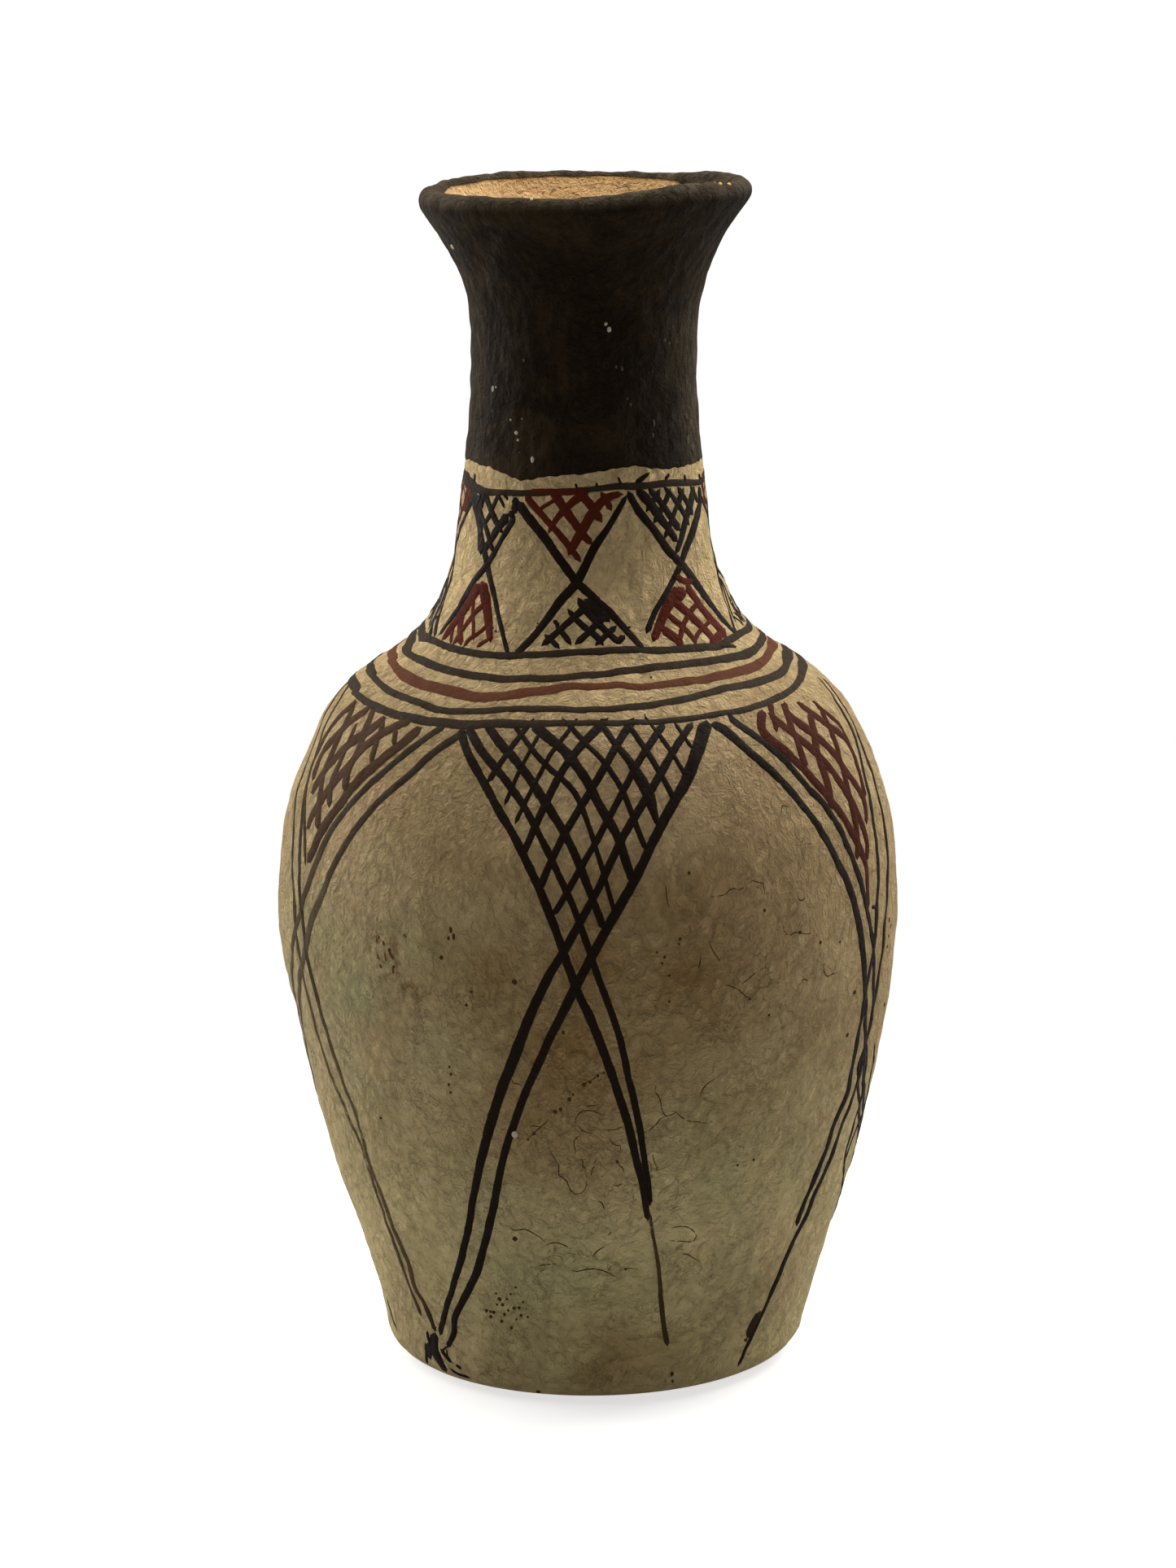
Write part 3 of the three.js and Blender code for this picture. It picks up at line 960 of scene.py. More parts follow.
neckDark = """
# the two lozenges
12 12 11 9 8: 636,616 650,637 670,662 690,690 707,714 728,733 749,752 769,773 783,788 793,800
6 7 12 12 9 9: 770,608 763,622 747,648 730,673 710,713 690,737 670,763 650,787 630,807
7 7 7 6 6: 580,600 584,625 592,665 600,700 609,742 618,780 625,811
9 7 6 8 7 7 7 5 4: 633,634 622,652 612,670 605,683 594,700 585,712 575,727 563,748 550,767 539,782
9 10 9 10 6 5: 771,603 785,628 806,655 824,680 842,700 853,713 870,738 888,760 907,781
6 7 7 8: 858,596 860,617 853,645 843,672 835,695 827,712 812,740 805,753 795,778
# edges of the next lozenges, seen from the side
4: 580,615 573,630 564,657 560,672 555,692 549,710 547,716 > neckBeyond1
4.5: 556,695 553,712 548,725 543,738 540,755 534,784 > neckBefore1
5: 550,707 546,723 538,742 533,758 529,784
3: 540,725 533,736 525,749
3: 535,745 530,753 522,765
3: 540,755 532,762 520,768
4: 860,610 867,627 872,657 877,683 881,700 > neckBeyond2
3: 880,702 887,720 893,735 900,753 906,766
3.5: 881,703 888,730 897,753 905,780 > neckBefore2
3: 883,708 898,737 907,750 919,763
2.5: 902,757 909,762 916,768
# hatched triangle at the top left
5.5: 584,605 587,618 590,632 597,650 602,668 607,680
7: 579,604 583,622 588,642 590,662 591,682
7: 594,605 600,620 606,635 611,646 618,656
4: 611,606 617,617 620,625
3.5: 619,607 625,614
4.5: 592,606 587,617 585,625
5: 598,606 593,613 589,627
5.5: 614,606 606,621 601,633 593,646
11.5 10 8 7: 625,631 612,648 603,663 593,679
13.5: 629,617 638,617
14.5: 628,625 637,624
10: 625,635 632,630
# hatched triangle at the top right
10 12.5 11.5 9 7: 781,600 795,614 804,627 813,639 821,649 832,667
8: 796,599 808,613 818,626 826,638 836,653
6: 815,598 828,612 836,623 842,635 847,646
6: 832,598 840,610 846,621 852,634
4.5: 849,597 854,608 858,618
7: 854,597 848,620 843,636 839,652 835,667 829,681
6: 841,599 836,612 830,627 825,640 820,652 816,663
7: 824,599 819,612 813,625 808,634 802,644
7: 811,600 805,612 798,621 793,630
# ticks over the first band
3 @ 0.95: 583,581 582,597
3 @ 0.95: 707,594 709,600
3 @ 0.95: 733,593 733,600
3 @ 0.95: 759,586 764,597
7 6 3: 780,595 790,587 798,580
4 @ 0.95: 817,590 823,582
3 @ 0.95: 841,583 843,592
3 @ 0.95: 858,583 860,590
4: 878,795.5 893,794.5 905,794.5
3 @ 0.9: 658,769 664,772
3 @ 0.9: 767,772 776,770
# hatched triangle at the foot of the neck
14 19 17.5 11: 718,736 725,742 737,752 750,764
9 10 9 9: 710,734 720,750 733,764 748,778 763,791
6 7.5 9 7.5: 697,748 707,760 721,773 733,782 742,793
5: 680,762 687,769
6 7.5 7.5: 682,768 693,780 702,793
6 7.5 7.5: 668,779 678,787 688,797
11 9 7.5 9: 728,740 714,751 702,761 684,777 665,794
10 9 7.5: 746,755 735,765 722,778 706,792
9 7.5 7.5: 758,768 746,779 731,793
7.5 9: 768,780 757,791
"""

neckRed = """
7: 580,600 575,612 569,628
6: 861,593 864,606 867,620
# top middle
9 9 8: 646,606 653,618 670,638 688,657 702,675 714,691
11 12 11 9: 677,602 687,615 702,637 715,655 728,670
11: 710,602 718,612 725,620 733,632 740,642
8: 738,604 745,615 752,628
8 9 13 13 12 10: 766,607 753,609 740,616 727,632 717,650 708,665 698,683
11 11 8 5: 724,602 710,612 695,625 682,641 673,657
5: 691,607 677,617 667,623 657,632
9: 648,605 700,604 728,602
# bottom left
11 12 10 9: 592,714 595,728 598,750 601,770 603,790
12 10 8 5: 590,717 578,737 566,755 554,772 543,788
5: 583,735 581,752 582,770 582,788
6 8 8: 571,747 566,763 565,778 567,794
4.5: 558,766 555,778 554,792
6: 598,739 588,749 577,762 565,779 556,793
5: 601,765 590,777 577,786 569,796
5: 603,785 594,789 585,795
# bottom right
14 16 13 12 9: 836,722 826,736 819,748 812,766 803,788
14: 840,722 830,738
8: 827,701 832,710 841,715 854,713
11 8 9 9: 842,716 850,730 863,748 873,760 884,771 894,784
6: 856,742 861,737
10 9 9: 826,735 838,747 848,756 862,770 874,782 878,793
7: 817,751 830,762 840,771 851,783 857,793
11: 812,769 822,777 832,785 841,795
7: 859,739 849,751 840,767 837,780 833,791
5.5: 877,759 866,769 857,780 853,792
10: 891,772 883,782 873,793
"""

frontTriangle = """
# from the top left to the foot
12 11 11 12 11 8 @ 1 1 1 1 1 1 1 0.72: 566,893 573,921 593,960 615,1000 638,1040 666,1100 691,1166 709,1218
    724,1248 744,1300 758,1340 771,1380 781,1420 790,1460 796,1500
13 9 9 9 7: 575,892 590,920 622,960 649,1000 679,1060 708,1123 733,1195 758,1264 767,1300 776,1340 785,1380
    791,1420 797,1460 799,1482
5 5 6 7 7 7 @ 0.44 0.42 0.5 0.6 0.62 0.56: 798,1490 802,1515 808,1550 811,1579 812,1598 816,1631 820,1654
12 12 9: 598,890 612,910 638,940 668,983 702,1040 727,1102 742,1143
6 7 8 8 7 6: 627,883 642,905 668,937 697,963 712,985 730,1035 756,1124
14 14 13 12 12 10: 655,890 671,904 695,924 719,956 734,984 758,1027 768,1055 778,1086
5 7 7 8 8 7: 690,883 701,893 718,912 739,933 757,958 771,985 783,1018 795,1046
8 8 9 15 15 10 7: 740,890 751,907 769,930 786,956 797,978 804,1000 809,1016
7.5: 769,887 783,907 800,931 814,956 830,985
3 4 6 6 6 @ 0.97: 791,877 798,887 814,908 831,933 845,956
5 @ 0.97: 827,886 837,899 843,908 852,922
# from the top right to the foot
18 14 12 12 10 10 10 8 5: 868,885 856,925 843,960 820,1000 800,1040 780,1081 745,1143 709,1210 677,1273
    657,1318 641,1355 620,1417 606,1487 595,1530 586,1562 578,1580 568,1600 559,1620 557,1640 549,1656
8: 655,883 637,906 618,932 598,962
5.5 @ 0.97: 668,892 652,921 636,950 619,990
6 @ 0.97: 710,883 688,912 671,936 646,984 632,1013
12 9: 747,882 722,908 702,931 684,959 660,1010 642,1052
11 9: 779,882 761,911 735,956 702,1010 682,1048 662,1095
10 8: 816,888 791,926 771,962 743,1015 712,1070 679,1126
9 11 10 12 14 13 9 8 7 6: 851,887 830,919 801,969 767,1026 733,1096 698,1160 671,1206 647,1258 632,1299
    616,1339 603,1380 592,1423 583,1466 576,1509 565,1552 557,1580 550,1601 543,1628 540,1642
5 @ 0.97: 813,1012 816,1006
3 @ 0.95: 741,889 748,881
3 @ 0.95: 773,889 779,882
3 @ 0.95: 652,889 656,882
3 @ 0.95: 706,888 709,883
2 @ 0.9: 573,1540 568,1555 560,1570
"""

footTangle = """
9 13 17 14 12 12 @ 0.97: 533,1638 533,1648 534,1660 539,1670 544,1680 549,1687
7 11 6 @ 0.95: 529,1650 526,1662 529,1672
3 @ 0.95: 524,1635 526,1645 530,1655
3 @ 0.92: 521,1649 523,1660 523,1668 526,1677
4 @ 0.95: 541,1657 549,1668 556,1675
3 @ 0.9: 560,1677 567,1682
3 @ 0.9: 552,1681 562,1688 579,1694
2 @ 0.9: 549,1658 550,1668
3 @ 0.95: 549,1655 543,1660
"""

leftDark = """
9 8 6 6 @ 0.9 0.8 0.6 0.45: 548,890 515,912 485,937 455,963 427,993 402,1028 385,1068 371,1117 363,1151
    359.7,1180 360,1208 > leftBeyond1
10 8 7 @ 0.9 0.78 0.58 0.45: 570,898 560,905 530,927 500,955 470,980 445,1008 428,1032 408,1067 395,1101
    383,1134 377,1168 368,1206 368,1238 > leftBeyond2
5 4 5 5 4 4 @ 0.85 0.85 0.8 0.62 0.41 0.38 0.48 0.72: 415,862 393,900 378,935 367,972 361.5,1010 359.5,1050
    362,1100 365,1137 372,1195 383,1243 398,1298 420,1358 444,1409 463,1466 483,1520 502,1580 510,1600
    518,1618 > leftBefore1
5 5 5 5 5 6 @ 0.9 0.9 0.85 0.68 0.44 0.42 0.62 0.9: 420,863 400,897 384,942 374,980 369,1020 368.5,1060
    372,1120 378,1168 387,1214 400,1265 420,1331 439,1380 460,1444 482,1501 501,1552 509,1580 519,1600
    528,1620 534,1638 > leftBefore2
2 @ 0.85: 475,1592 482,1614 490,1635
"""

leftRed = """
11 @ 0.9: 518,893 492,915 465,937 438,962 418,988 397,1018 378,1060
10 @ 0.9: 508,884 478,897 448,918 428,942 402,973 375,1018
10 @ 0.9: 475,882 450,900 425,917 405,940 382,975
10 @ 0.9: 455,870 432,885 413,905 397,925 384,960
8 6 3 @ 0.9: 440,863 418,882 403,903 387,933 376,975 374,1035 377,1065
10 @ 0.9: 460,868 450,893 440,920 428,950 424,975
8 @ 0.9: 437,868 420,897 408,925 397,955 391,1020
7 @ 0.9: 440,888 427,912 417,938 407,965 405,993
7 @ 0.9: 473,885 463,912 455,938
7 @ 0.9: 487,895 485,907 483,917
"""

rightDark = """
11 9 7 5: 873,890 890,897 920,923 959,959 986,989 1011,1025 1033,1065 1047,1100 1056,1138 1061,1193
    1062,1256 1060,1297 1058,1326 > rightBeyond1
9 7 5 4: 893,880 920,899 956,928 986,960 1017,996 1040,1036 1056,1079 1065,1117 1072,1164 1072.7,1207
    1071,1242 1062,1281 1051,1326 > rightBeyond2
5 5 6 5 @ 0.97: 1026,862 1049,907 1064,971 1076,1036 1078,1100 1073.6,1157 1063,1217 1054,1268 1047,1302
    1039,1340 1024,1380 1011,1420 996,1460 981,1500 979,1508 > rightBefore1
5 5 5 6 5 4 @ 0.95: 1032,862 1054,907 1074,971 1088,1045 1088,1107 1082,1174 1071,1242 1061,1285 1047,1340
    1033.5,1380 1020,1420 1004,1460 988,1500 968,1540 951,1580 933.5,1620 915,1660 906,1680 > rightBefore2
4 @ 0.9: 1063,1280 1056,1345 1048,1380 1037,1420 1031,1460 1021,1500
3 @ 0.9: 1071,1280 1067,1320 1058,1362 1045,1400 1037,1425
10 13 8 @ 0.7: 934,1610 925,1630 918,1645
5 @ 0.97: 1071,1115 1078,1115
"""

rightRed = """
11 10 8 5 @ 0.97: 936,872 937,899 966,926 988,946 1015,978 1044,1018 1063,1061 1067,1118
10 8 5 @ 0.97: 943,876 963,894 999,923 1026,955 1049,993 1064,1032 1064,1060
10 6 @ 0.97: 959,865 979,887 1015,917 1045,957 1059,982 1064,1014
8 5 @ 0.97: 979,863 1011,887 1042,916 1058,964 1061,982
6 @ 0.97: 997,862 1026,887 1044,914
7 @ 0.97: 947,862 948,876 954,901
9 @ 0.97: 963,862 972,894 986,932 990,948
9 @ 0.97: 993,874 1003,921 1017,968 1022,995
7 @ 0.97: 1006,869 1026,916 1042,977 1053,1025 1054,1057
"""


# ends of strokes that the picture can't show, as degrees round from the front and height in millimetres
unseenEnds = {
    "neckBeyond1": "-92,195.5 -103,191 -114,186.5",
    "neckBefore1": "-108,222.5 -99,215 -90,208.5",
    "neckBeyond2": "92,197.5 106,192 118,186.5",
    "neckBefore2": "113,222.5 103,215.5 92,208",
    "leftBeyond1": "-86,80 -95,56 -104,32 -111,10",
    "leftBeyond2": "-83,76 -92,52 -101,30 -109,9",
    "leftBefore1": "-88,173.5",
    "leftBefore2": "-84,174",
    "rightBeyond1": "82,55 89,33 95,12",
    "rightBeyond2": "80,55 88,33 93,13",
    "rightBefore1": "82,174",
    "rightBefore2": "86,173",
}

stroke = {
    "step": 1.3,  # mm between the rings of a stroke
    "share": 0.97,  # the paint's soft edge shows a little past the width that is given
    "spare": 1.16,  # share that the ribbon is wider than the paint that shows
    "edgeSunk": 0.06,
    "high": 0.13,
    "apart": 0.006,  # each stroke lies a little higher than the last
    "depth": 0.12,
    "widest": 3.6,
    "perSpan": 12,  # steps of the curve from one place to the next
    "widthWaves": [(7.0, 0.04), (2.6, 0.025)],  # lumps in the width: their length and share
    "sway": (9.0, 0.045),  # lumps in the middle line: their length and height
    "loadWave": (16.0, 0.03),
}

strokeAcross = np.array([-1, -0.72, -0.4, 0, 0.4, 0.72, 1])
underAcross = [6, 3, 0]  # the places across that the underside has too
ringPoints = len(strokeAcross) + len(underAcross)


def readStroke(widths, loads, pixels, unseen=""):
    # places and widths of one stroke on the jug: the width comes from casting both its sides
    share = np.linspace(0, 1, len(pixels))
    wide, load = [np.interp(share, np.linspace(0, 1, len(v)), v) for v in (widths, loads)]
    way = tangentOf(pixels)
    side = np.stack([-way[:, 1], way[:, 0]], -1) * wide[:, None] / 2
    angle, along = castPixels(pixels)
    left, right = [skin(*castPixels(edge)) for edge in (pixels + side, pixels - side)]
    most = np.minimum(stroke["widest"] * np.maximum(1, wide / 14), wide * 0.42)
    real = stroke["share"] * np.minimum(np.linalg.norm(left - right, axis=-1), most)
    if unseen:
        degrees, height = numbers(unseenEnds[unseen]).reshape(-1, 2).T
        before = "Before" in unseen
        end = 0 if before else -1
        level = 0 * degrees
        extra = [np.radians(degrees), alongAtHeight(height), level + real[end], level + load[end]]
        pairs = zip(extra, (angle, along, real, load))
        angle, along, real, load = [np.concatenate(p if before else p[::-1]) for p in pairs]
    return angle, along, real, load


def readAll(table):
    # the strokes of a table, with each row joined to the deeper rows under it
    rows = []
    for line in table.strip().splitlines():
        if ":" in line:
            rows.append(line)
        elif "#" not in line:
            rows[-1] += line
    strokes = []
    for row in rows:
        brush, places = row.split(":")
        places, _, unseen = places.partition(">")
        widths, _, loads = brush.partition("@")
        pixels = numbers(places).reshape(-1, 2)
        strokes.append(readStroke(numbers(widths), numbers(loads or "1"), pixels, unseen.strip()))
    return strokes


def ribbon(angle, along, wide, load, order, seed, high):
    # closed domed ribbon along one stroke: rings across it every step, ends rounded off
    draw = np.random.default_rng(seed)
    middle = float(onSkin(along)[0].mean())
    curve = splineThrough(np.stack([angle * middle, along], -1), stroke["perSpan"])
    length = runningLength(curve)
    knotAt = length[:: stroke["perSpan"]]
    count = max(6, int(length[-1] / stroke["step"]) + 1)
    places = np.linspace(0, length[-1], count)
    path = readLine(places, length, curve)

    # four unlike waves along the stroke: two in its width, one in its middle line, one in its load
    waves = [*stroke["widthWaves"], stroke["sway"], stroke["loadWave"]]
    waves = [lumps(places, 0, 0, size, seed + i) * tall for i, (size, tall) in enumerate(waves)]
    half = np.interp(places, knotAt, wide) / 2 * (1 + (waves[0] + waves[1]))
    fromEnd = np.minimum(places, places[-1] - places)
    cap = np.clip(fromEnd / np.maximum(half, 0.2), 0, 1)
    half = np.maximum(half * np.sqrt(1 - (1 - cap) ** 2), 0.05)[:, None]
    localR = onSkin(path[:, 1])[0]
    way = np.gradient(path * np.stack([localR / middle, np.ones(count)], -1), axis=0)
    way /= np.maximum(np.linalg.norm(way, axis=1), 1e-9)[:, None]
    offset = strokeAcross * (half * stroke["spare"]) + waves[2][:, None]
    theta = path[:, :1] / middle + -way[:, 1:] * offset / localR[:, None]
    s = path[:, 1:] + way[:, :1] * offset
    edge = np.abs(strokeAcross) ** 3
    top = (high + stroke["apart"] * order) * (1 - edge) - stroke["edgeSunk"] * edge
    under = np.full((count, len(underAcross)), -stroke["depth"])
    upper = skin(theta, s, top * np.minimum(1, half / 0.4))
    points = np.concatenate([upper, skin(theta[:, underAcross], s[:, underAcross], under)], 1)
    whole = np.zeros((count, ringPoints))
    u = places[:, None] + whole + draw.uniform(0, 400)
    v = np.append(strokeAcross, strokeAcross[underAcross]) * stroke["spare"] + whole
    loads = (np.interp(places, knotAt, load)[:, None] + whole) + waves[3][:, None]
    return points.reshape(-1, 3), np.stack([u, v], -1).reshape(-1, 2), loads.ravel()


def makeStrokes(name, strokes, paint, firstOrder=0, seed=1, high=stroke["high"]):
    # one piece from many ribbons, each closed by a cap at both ends
    ribbons, faces, count = [], [], 0
    for i, read in enumerate(strokes):
        ribbons.append(ribbon(*read, firstOrder + i % 12, seed * 1000 + i * 10, high))
        rings = len(ribbons[-1][0]) // ringPoints
        # the rings' columns close round the ribbon, its rows stay open
        faces += (gridFaces(rings, ringPoints, False) + count).tolist()
        faces.append(list(range(count, count + ringPoints))[::-1])
        count += rings * ringPoints
        faces.append(list(range(count - ringPoints, count)))
    points, uv, loads = [np.concatenate(parts) for parts in zip(*ribbons)]
    piece = makePiece(name, points, faces, paintMaterials[paint])
    addAttribute(piece, "load", loads)
    layer = piece.data.uv_layers.new(name="stroke")
    corner = np.zeros(len(piece.data.loops), np.int32)
    piece.data.loops.foreach_get("vertex_index", corner)
    layer.data.foreach_set("uv", uv[corner].astype(np.float32).ravel())


def turnedStrokes(strokes, turn, stretch=1.0, mirror=False, about=0.0, seed=0, sway=0.35):
    # the same strokes by another hand movement: turned round the jug, stretched and a little off
    draw = np.random.default_rng(seed)
    flip = -1 if mirror else 1
    result = []
    for angle, along, wide, load in strokes:
        moved = about + (angle - about) * stretch * flip + turn
        shift = draw.normal(0, sway, 2)
        drift = draw.normal(0, sway * 0.7, len(angle))
        moved = moved + (shift[0] + drift) / 70
        result.append((moved, along + shift[1] * 0.6, wide * draw.uniform(0.88, 1.1), load))
    return result


def closedBand(read, seed):
    # a band round the whole jug: read in front, joined round the back with a seeded wobble, and its
    # ends run over each other
    angle, along, wide, load = read
    knots, values = closedEdge(angle, along, 0.5, seed)
    wides = np.append(wide, np.linspace(wide[-1], wide[0], len(knots) - len(angle)))
    knots, values = np.append(knots, knots[:2] + 2 * pi), np.append(values, values[:2] + 0.5)
    return knots, values, np.append(wides, wides[:2]), np.full(len(knots), load[0])


bandStrokes = [closedBand(read, 300 + i) for i, read in enumerate(readAll(bands))]
darkBands = bandStrokes[:3] + bandStrokes[4:]
# the bands in the lighter copies of the paints: partly weathered, partly painted sheen
makeStrokes("painted_bands_dark", darkBands, "weathered and sheen-lit dark paint", 6, 2)
makeStrokes("painted_band_red", bandStrokes[3:4], "weathered and sheen-lit red paint", 6, 3)

neckDarkStrokes, neckRedStrokes = readAll(neckDark), readAll(neckRed)
makeStrokes("neck_lozenges_dark", neckDarkStrokes, "dark paint", 2, 4)
makeStrokes("neck_triangles_red", neckRedStrokes, "red paint", 0, 5)
# the front again on the back, without what the picture shows at the neck's sides
backNeckDark = turnedStrokes(neckDarkStrokes[:6] + neckDarkStrokes[17:], pi, seed=21)
backNeckRed = turnedStrokes(neckRedStrokes[2:], pi, seed=22)
makeStrokes("neck_lozenges_dark_back", backNeckDark, "dark paint", 2, 6)
makeStrokes("neck_triangles_red_back", backNeckRed, "red paint", 0, 7)
# one red triangle above and one dark triangle below on each side, to close the ring of eight
sideRed, sideDark = [], []
for degrees, mirror, seed in ((92.5, False, 23), (-87.5, True, 25)):
    middle = radians(-5.5)
    sideRed += turnedStrokes(neckRedStrokes[2:10], radians(degrees) - middle, 0.8, mirror, middle, seed)
    middle = radians(-2)
    sideDark += turnedStrokes(neckDarkStrokes[-10:], radians(degrees) - middle, 1.1, mirror, middle, seed + 1)
makeStrokes("neck_triangles_red_sides", sideRed, "red paint", 0, 16)
makeStrokes("neck_triangles_dark_sides", sideDark, "dark paint", 2, 17)

frontStrokes = readAll(frontTriangle)
makeStrokes("front_triangle", frontStrokes, "dark paint", 0, 8)
makeStrokes("foot_tangle", readAll(footTangle), "dark paint", 4, 9)
makeStrokes("left_triangle_lines", readAll(leftDark), "weathered and sheen-lit dark paint", 2, 10)
makeStrokes("left_triangle_hatch", readAll(leftRed), "brown paint", 0, 11)
makeStrokes("right_triangle_lines", readAll(rightDark), "dark paint", 2, 12)
# the right hatch in the darker copy of the red paint: painted shade
makeStrokes("right_triangle_hatch", readAll(rightRed), "shaded red paint", 0, 13)
for side, degrees, mirror, turnSeed, seed in (("right", 143, False, 32, 15), ("left", -142, True, 31, 14)):
    back = turnedStrokes(frontStrokes, radians(degrees), 1.2, mirror, radians(-1), turnSeed)
    makeStrokes("back_%s_triangle" % side, back, "dark paint", 0, seed)
print("brush strokes made")

# Cracks, pits and chips read from the picture

cracks = {
    "width": 1.9,  # pixels
    "high": 0.03,
    # each line is one crack, as its places on the picture
    "places": """
        919,1086 923,1083 928,1082 932,1085 938,1086 939,1094 940,1100
        919,1086 911,1093 902,1092 896,1094 892,1099 884,1101 874,1102
        980,1102 981,1105 984,1107 988,1105 989,1101
        962,1137 965,1147 971,1149 977,1145 982,1146 993,1148 999,1143
        872,1155 874,1164 878,1172 882,1177 886,1186
        911,1209 919,1203 925,1198 931,1193
        890,1210 898,1212 909,1217 915,1223 921,1227 925,1231
        817,1086 818,1094 819,1106 822,1115
        861,1176 860,1184 858,1192
        1011,1186 1012,1194 1016,1200 1023,1197 1029,1195
        984,1206 988,1203 993,1205
        960,998 961,990 970,992
        451,1075 448,1082 449,1090
        628,1326 631,1332 636,1332 642,1335
        715,1336 721,1331 728,1328 734,1323 742,1319
        675,1376 671,1380 665,1385 660,1389 655,1394 648,1401
        651,1384 660,1385 666,1385
        719,1360 727,1359 735,1358
        706,1381 708,1374 712,1368 719,1365 729,1366 735,1368 741,1372
        710,1383 714,1389 717,1391 728,1394
        715,1396 710,1398 706,1401 705,1407 707,1414 706,1419
        743,1389 756,1389 760,1387 765,1385
        749,1400 754,1407 763,1409 761,1418
        676,1416 679,1421 684,1428 687,1433 686,1443 \
        690,1448 694,1448 697,1454 699,1458 700,1462 710,1467 719,1461 721,1450
        711,1425 716,1425 716,1433 721,1438
        734,1432 729,1435 726,1445
        702,1429 692,1432
        760,1429 761,1433 765,1435 766,1442
        752,1457 759,1458 764,1455
        735,1476 740,1480 743,1488
        626,1506 632,1511 645,1510 652,1513 662,1519 669,1526
        671,1531 680,1528 691,1530 702,1535
        751,1514 747,1519
        727,1546 733,1538 744,1531
        703,1562 709,1563 717,1561 731,1559 745,1563 759,1570
        752,1555 746,1563
        761,1560 768,1560 773,1559 785,1560
        659,1557 669,1555 684,1554
        803,1331 806,1336 803,1339 807,1345 811,1351 812,1355 813,1362 815,1368 818,1372 \
        825,1371 831,1368 837,1373 847,1379 856,1379 866,1381 875,1378
        791,1395 799,1389 806,1383 812,1375 818,1372
        802,1419 804,1428 809,1438 801,1439
        825,1510 835,1508 843,1508 852,1513 856,1520 851,1526 838,1526 821,1526
        839,1542 844,1542 852,1546 862,1552
        861,1348 864,1339 870,1332 879,1326
    """,
}

rustMarks = """
3 @ 0.8: 461,1143 462,1151 464,1160
4 @ 0.9: 471,1156 473,1162
3 @ 0.8: 465,1172 467,1179
3.5 @ 0.85: 478,1165 481,1172 485,1179
3 @ 0.8: 468,1184 470,1190
3 @ 0.8: 483,1187 484,1197
2.5 @ 0.7: 474,1170 476,1182
2.5 @ 0.7: 495,1148 500,1152
"""

# small marks, as place and width in pixels; the third number makes a mark longer upright
pits = """
632,1207,7 692,1269,4,5 835,1154,4 816,1176,4 579,1219,4 573,1235,4 939,1119,4 1006,1158,4 1039,1272,4
945,1248,3 926,1426,3 906,1432,3 846,1073,4 834,1160,3 807,1170,3 813,1184,3 822,1199,3 822,1231,3
467,1374,3 800,832,3 605,772,3,3 660,766,2 609,776,3 1049,1220,4 1084,1235,3 1032,1158,3 1091,1131,4,4
1093,1139,4 1090,1151,3,4 1089,1164,3,3 921,1228,3,3 982,1146,4 552,1311,3,3 554,1320,3,4 551,1333,3,4
553,1343,3 554,1143,4,8 557,1151,4,9 551,1153,3,5 542,1177,5
717,1334,5 725,1331,4 734,1323,4 742,1319,3 699,1352,5
704,1346,3,4
682,1367,5 688,1364,4 655,1394,4 648,1401,3 758,1428,4 633,1522,6 768,1560,3 661,1710,4 916,1647,4
613,1597,5 597,1611,4 602,1612,3 606,1613,4 603,1618,4 616,1624,4 628,1632,4 640,1617,4 648,1619,3
631,1608,4 637,1608,4 633,1583,3 617,1604,4 622,1597,3 624,1611,3 610,1604,3 619,1616,4 634,1622,3
609,1590,3 642,1601,3 627,1591,3 825,1688,4,5 826,1697,3,4 465,1152,3 479,1167,4 484,1188,3
"""
chips = """
748,405,6,8 744,398,4,5 632,1394,8 557,300,4,5 604,478,3,8 608,476,2,3 634,532,5,5 636,541,3,4 654,565,4,8
627,516,3 641,515,2 653,245,4 795,241,3
"""
scuffs = """
748,378,2 638,556,3,3 815,418,4,5 822,422,3,4 764,453,3,7 757,451,3,5 775,497,3,5 848,520,4,12 843,512,3,9
845,540,4,14 851,550,4,9 803,520,3,12 802,535,3,9 771,490,3 847,478,3,14 852,470,3,10 643,443,3,5
"""
clayChips = "878,233,3 885,236,3 896,235,3 653,243,4"


def markStrokes(text):
    # each mark as a short upright stroke: x, y, width and, where it is longer, its length
    made = []
    for item in text.split():
        x, y, wide, *tall = numbers(item)
        reach = max((tall[0] if tall else wide) - wide * 0.3, 1.0) / 2 + wide * 0.2
        pixels = np.array([(x - 0.4, y - reach), (x + 0.3, y), (x, y + reach)])
        made.append(readStroke([wide, wide * 1.15, wide * 0.8], [1.0], pixels))
    return made


crackWidths = np.array([0.6, 1, 0.5]) * cracks["width"]
crackPlaces = [numbers(row).reshape(-1, 2) for row in cracks["places"].strip().splitlines()]
crackStrokes = [readStroke(crackWidths, [0.95], pixels) for pixels in crackPlaces]
makeStrokes("hairline_cracks", crackStrokes, "crack shade", 0, 41, cracks["high"])
makeStrokes("pits_and_specks", markStrokes(pits), "crack shade", 0, 42, 0.06)
makeStrokes("rust_marks", readAll(rustMarks), "rust", 0, 46, 0.04)
makeStrokes("pale_chips", markStrokes(chips), "pale chip", 2, 43, 0.3)
makeStrokes("pale_scuffs", markStrokes(scuffs), "scuff", 0, 44, 0.28)
makeStrokes("clay_chips", markStrokes(clayChips), "clay chip", 0, 45, 0.3)
print("marks made")

# Floor, lights and background

studio = {
    "floorReach": 3.0,  # metres
    "floorTone": rgb(206, 206, 204),
    "floorGlow": 0.66,
    "whiteFrom": (0.12, 0.34),  # metres from the middle, where the shadow gives way to plain white
    "paperTone": (0.3, 0.3, 0.3, 1),
    "paperGlow": 0.22,
    "dim": 0.03,
    "lookHeight": 0.15,  # metres, where the lamps look
}


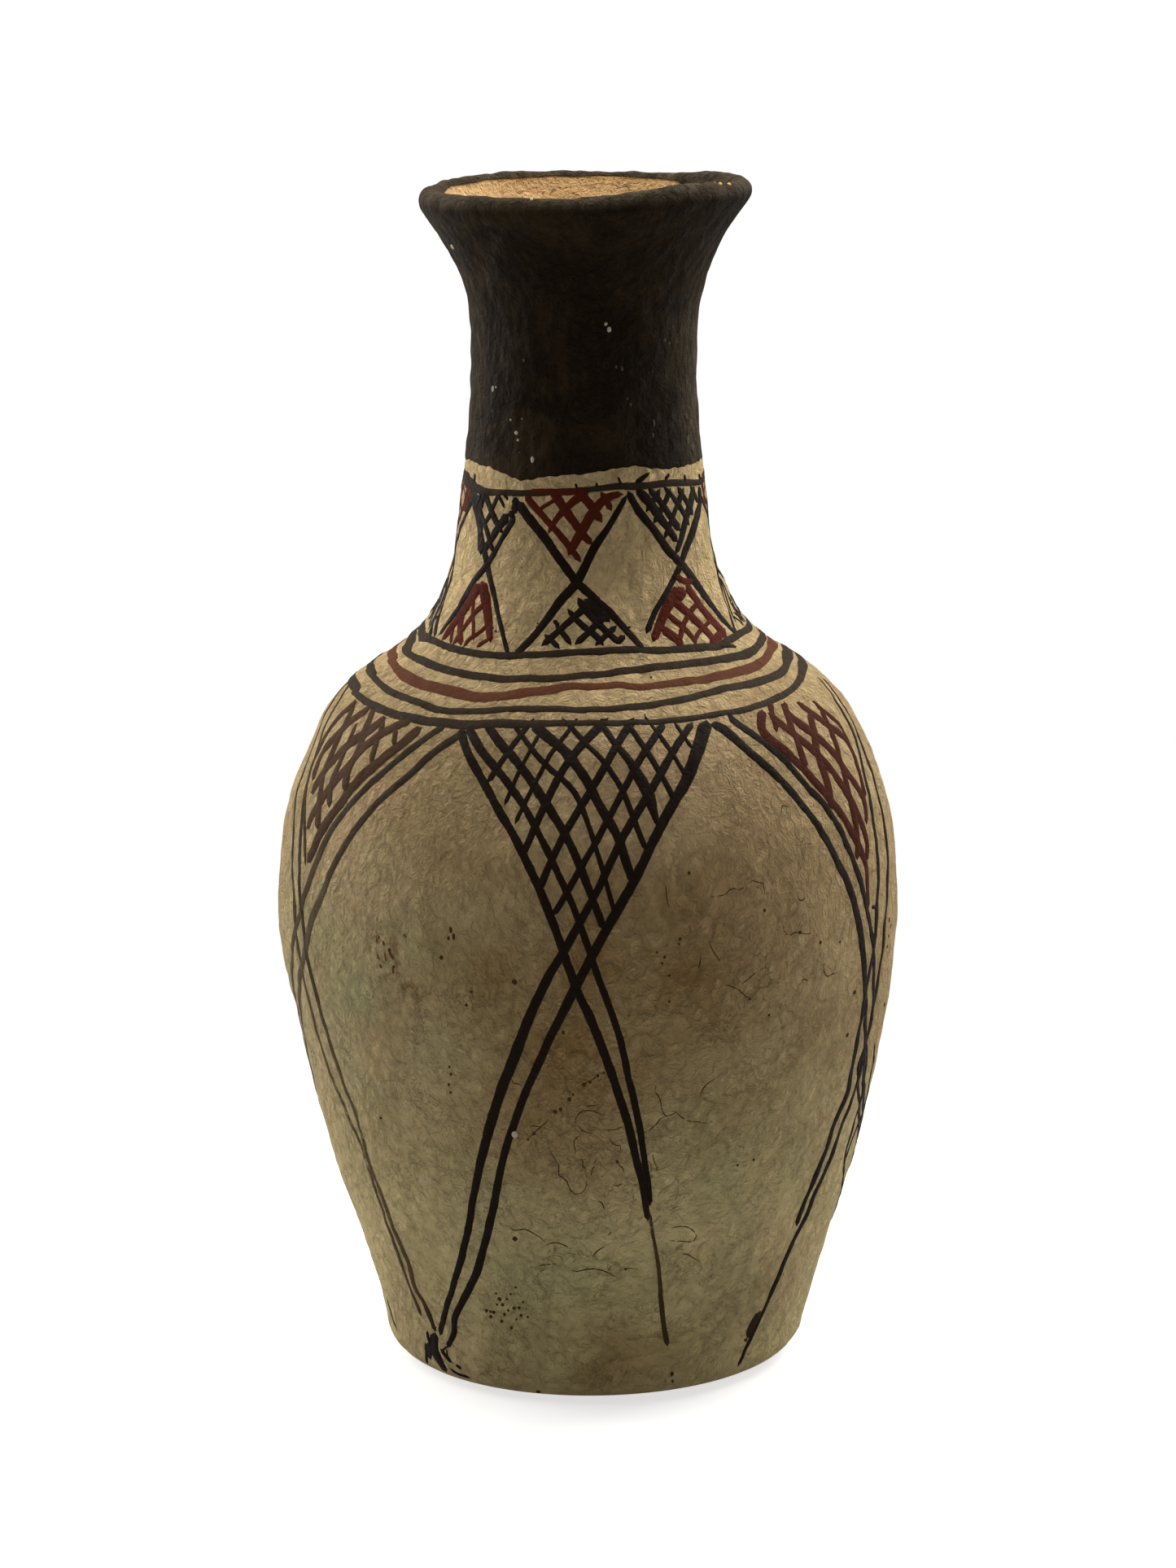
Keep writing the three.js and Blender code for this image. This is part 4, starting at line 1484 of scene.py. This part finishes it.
def glow(net, strength, kind="Emission"):
    # white light of one strength, given off by a surface or by the background
    return net.add(kind, {"Color": (1, 1, 1, 1), "Strength": strength}).outputs[0]


def makeFloor():
    # pale floor that keeps the jug's shadow; away from the jug the camera sees plain white
    far = studio["floorReach"]
    mesh = bpy.data.meshes.new("floor")
    mesh.from_pydata([(-far, -far, 0), (far, -far, 0), (far, far, 0), (-far, far, 0)], [], [(0, 1, 2, 3)])
    addObject("floor", mesh)
    material = bpy.data.materials.new("floor")
    net = emptyNet(material)
    away = net.vector("LENGTH", net.add("TexCoord").outputs["Object"]).outputs["Value"]
    matte = net.add("BsdfDiffuse", {"Color": studio["floorTone"]}).outputs[0]
    lifted = net.add("AddShader", {0: matte, 1: glow(net, studio["floorGlow"])}).outputs[0]
    near = {0: net.ramp(away, *studio["whiteFrom"]), 1: lifted, 2: glow(net, 1.0)}
    # what the jug gets back from the floor: the bounce of a grey paper, with a little even light
    paper = net.add("BsdfDiffuse", {"Color": studio["paperTone"]}).outputs[0]
    bounce = net.add("AddShader", {0: paper, 1: glow(net, studio["paperGlow"])}).outputs[0]
    seen = net.add("LightPath").outputs["Is Camera Ray"]
    surface = net.add("MixShader", {0: seen, 1: bounce, 2: net.add("MixShader", near).outputs[0]})
    net.add("OutputMaterial", {"Surface": surface.outputs[0]})
    mesh.materials.append(material)


lamps = {
    # place and size in metres, power in watts; each looks at the jug's middle
    "side left": {"at": (-1.25, 0.15, 0.45), "size": (0.9, 1.3), "power": 1.6},
    "side right": {"at": (1.25, 0.15, 0.45), "size": (0.9, 1.3), "power": 3.4},
    "over left": {"at": (-0.75, -0.1, 1.1), "size": (0.8, 0.8), "power": 4.6},
    "top": {"at": (0.0, 0.3, 1.3), "size": (1.0, 1.0), "power": 19.5},
    "back left": {"at": (-1.07, 0.75, 0.45), "size": (0.9, 1.3), "power": 17.0},
    "back right": {"at": (1.07, 0.75, 0.45), "size": (0.9, 1.3), "power": 4.2},
    "high back right": {"at": (0.8, 0.5, 1.1), "size": (0.8, 0.8), "power": 15.5},
}


def makeLamps():
    # area lamps; each is turned so that its -Z points at the jug's middle
    for name, lamp in lamps.items():
        data = bpy.data.lights.new(name, "AREA")
        data.shape = "RECTANGLE"
        data.size, data.size_y = lamp["size"]
        data.energy = lamp["power"]
        obj = addObject(name, data)
        obj.location = lamp["at"]
        way = Vector((0, 0, studio["lookHeight"])) - Vector(lamp["at"])
        obj.rotation_euler = way.to_track_quat("-Z", "Y").to_euler()


def makeWorld():
    # dim even studio light where the camera doesn't look, and white where it does
    world = bpy.data.worlds.new("studio")
    bpy.context.scene.world = world
    net = emptyNet(world)
    seen = net.add("LightPath").outputs["Is Camera Ray"]
    dim, white = glow(net, studio["dim"], "Background"), glow(net, 1.0, "Background")
    surface = net.add("MixShader", {0: seen, 1: dim, 2: white}).outputs[0]
    net.add("OutputWorld", {"Surface": surface})


makeFloor()
makeLamps()
makeWorld()
bpy.context.scene.view_settings.view_transform = "Standard"
print("studio ready")
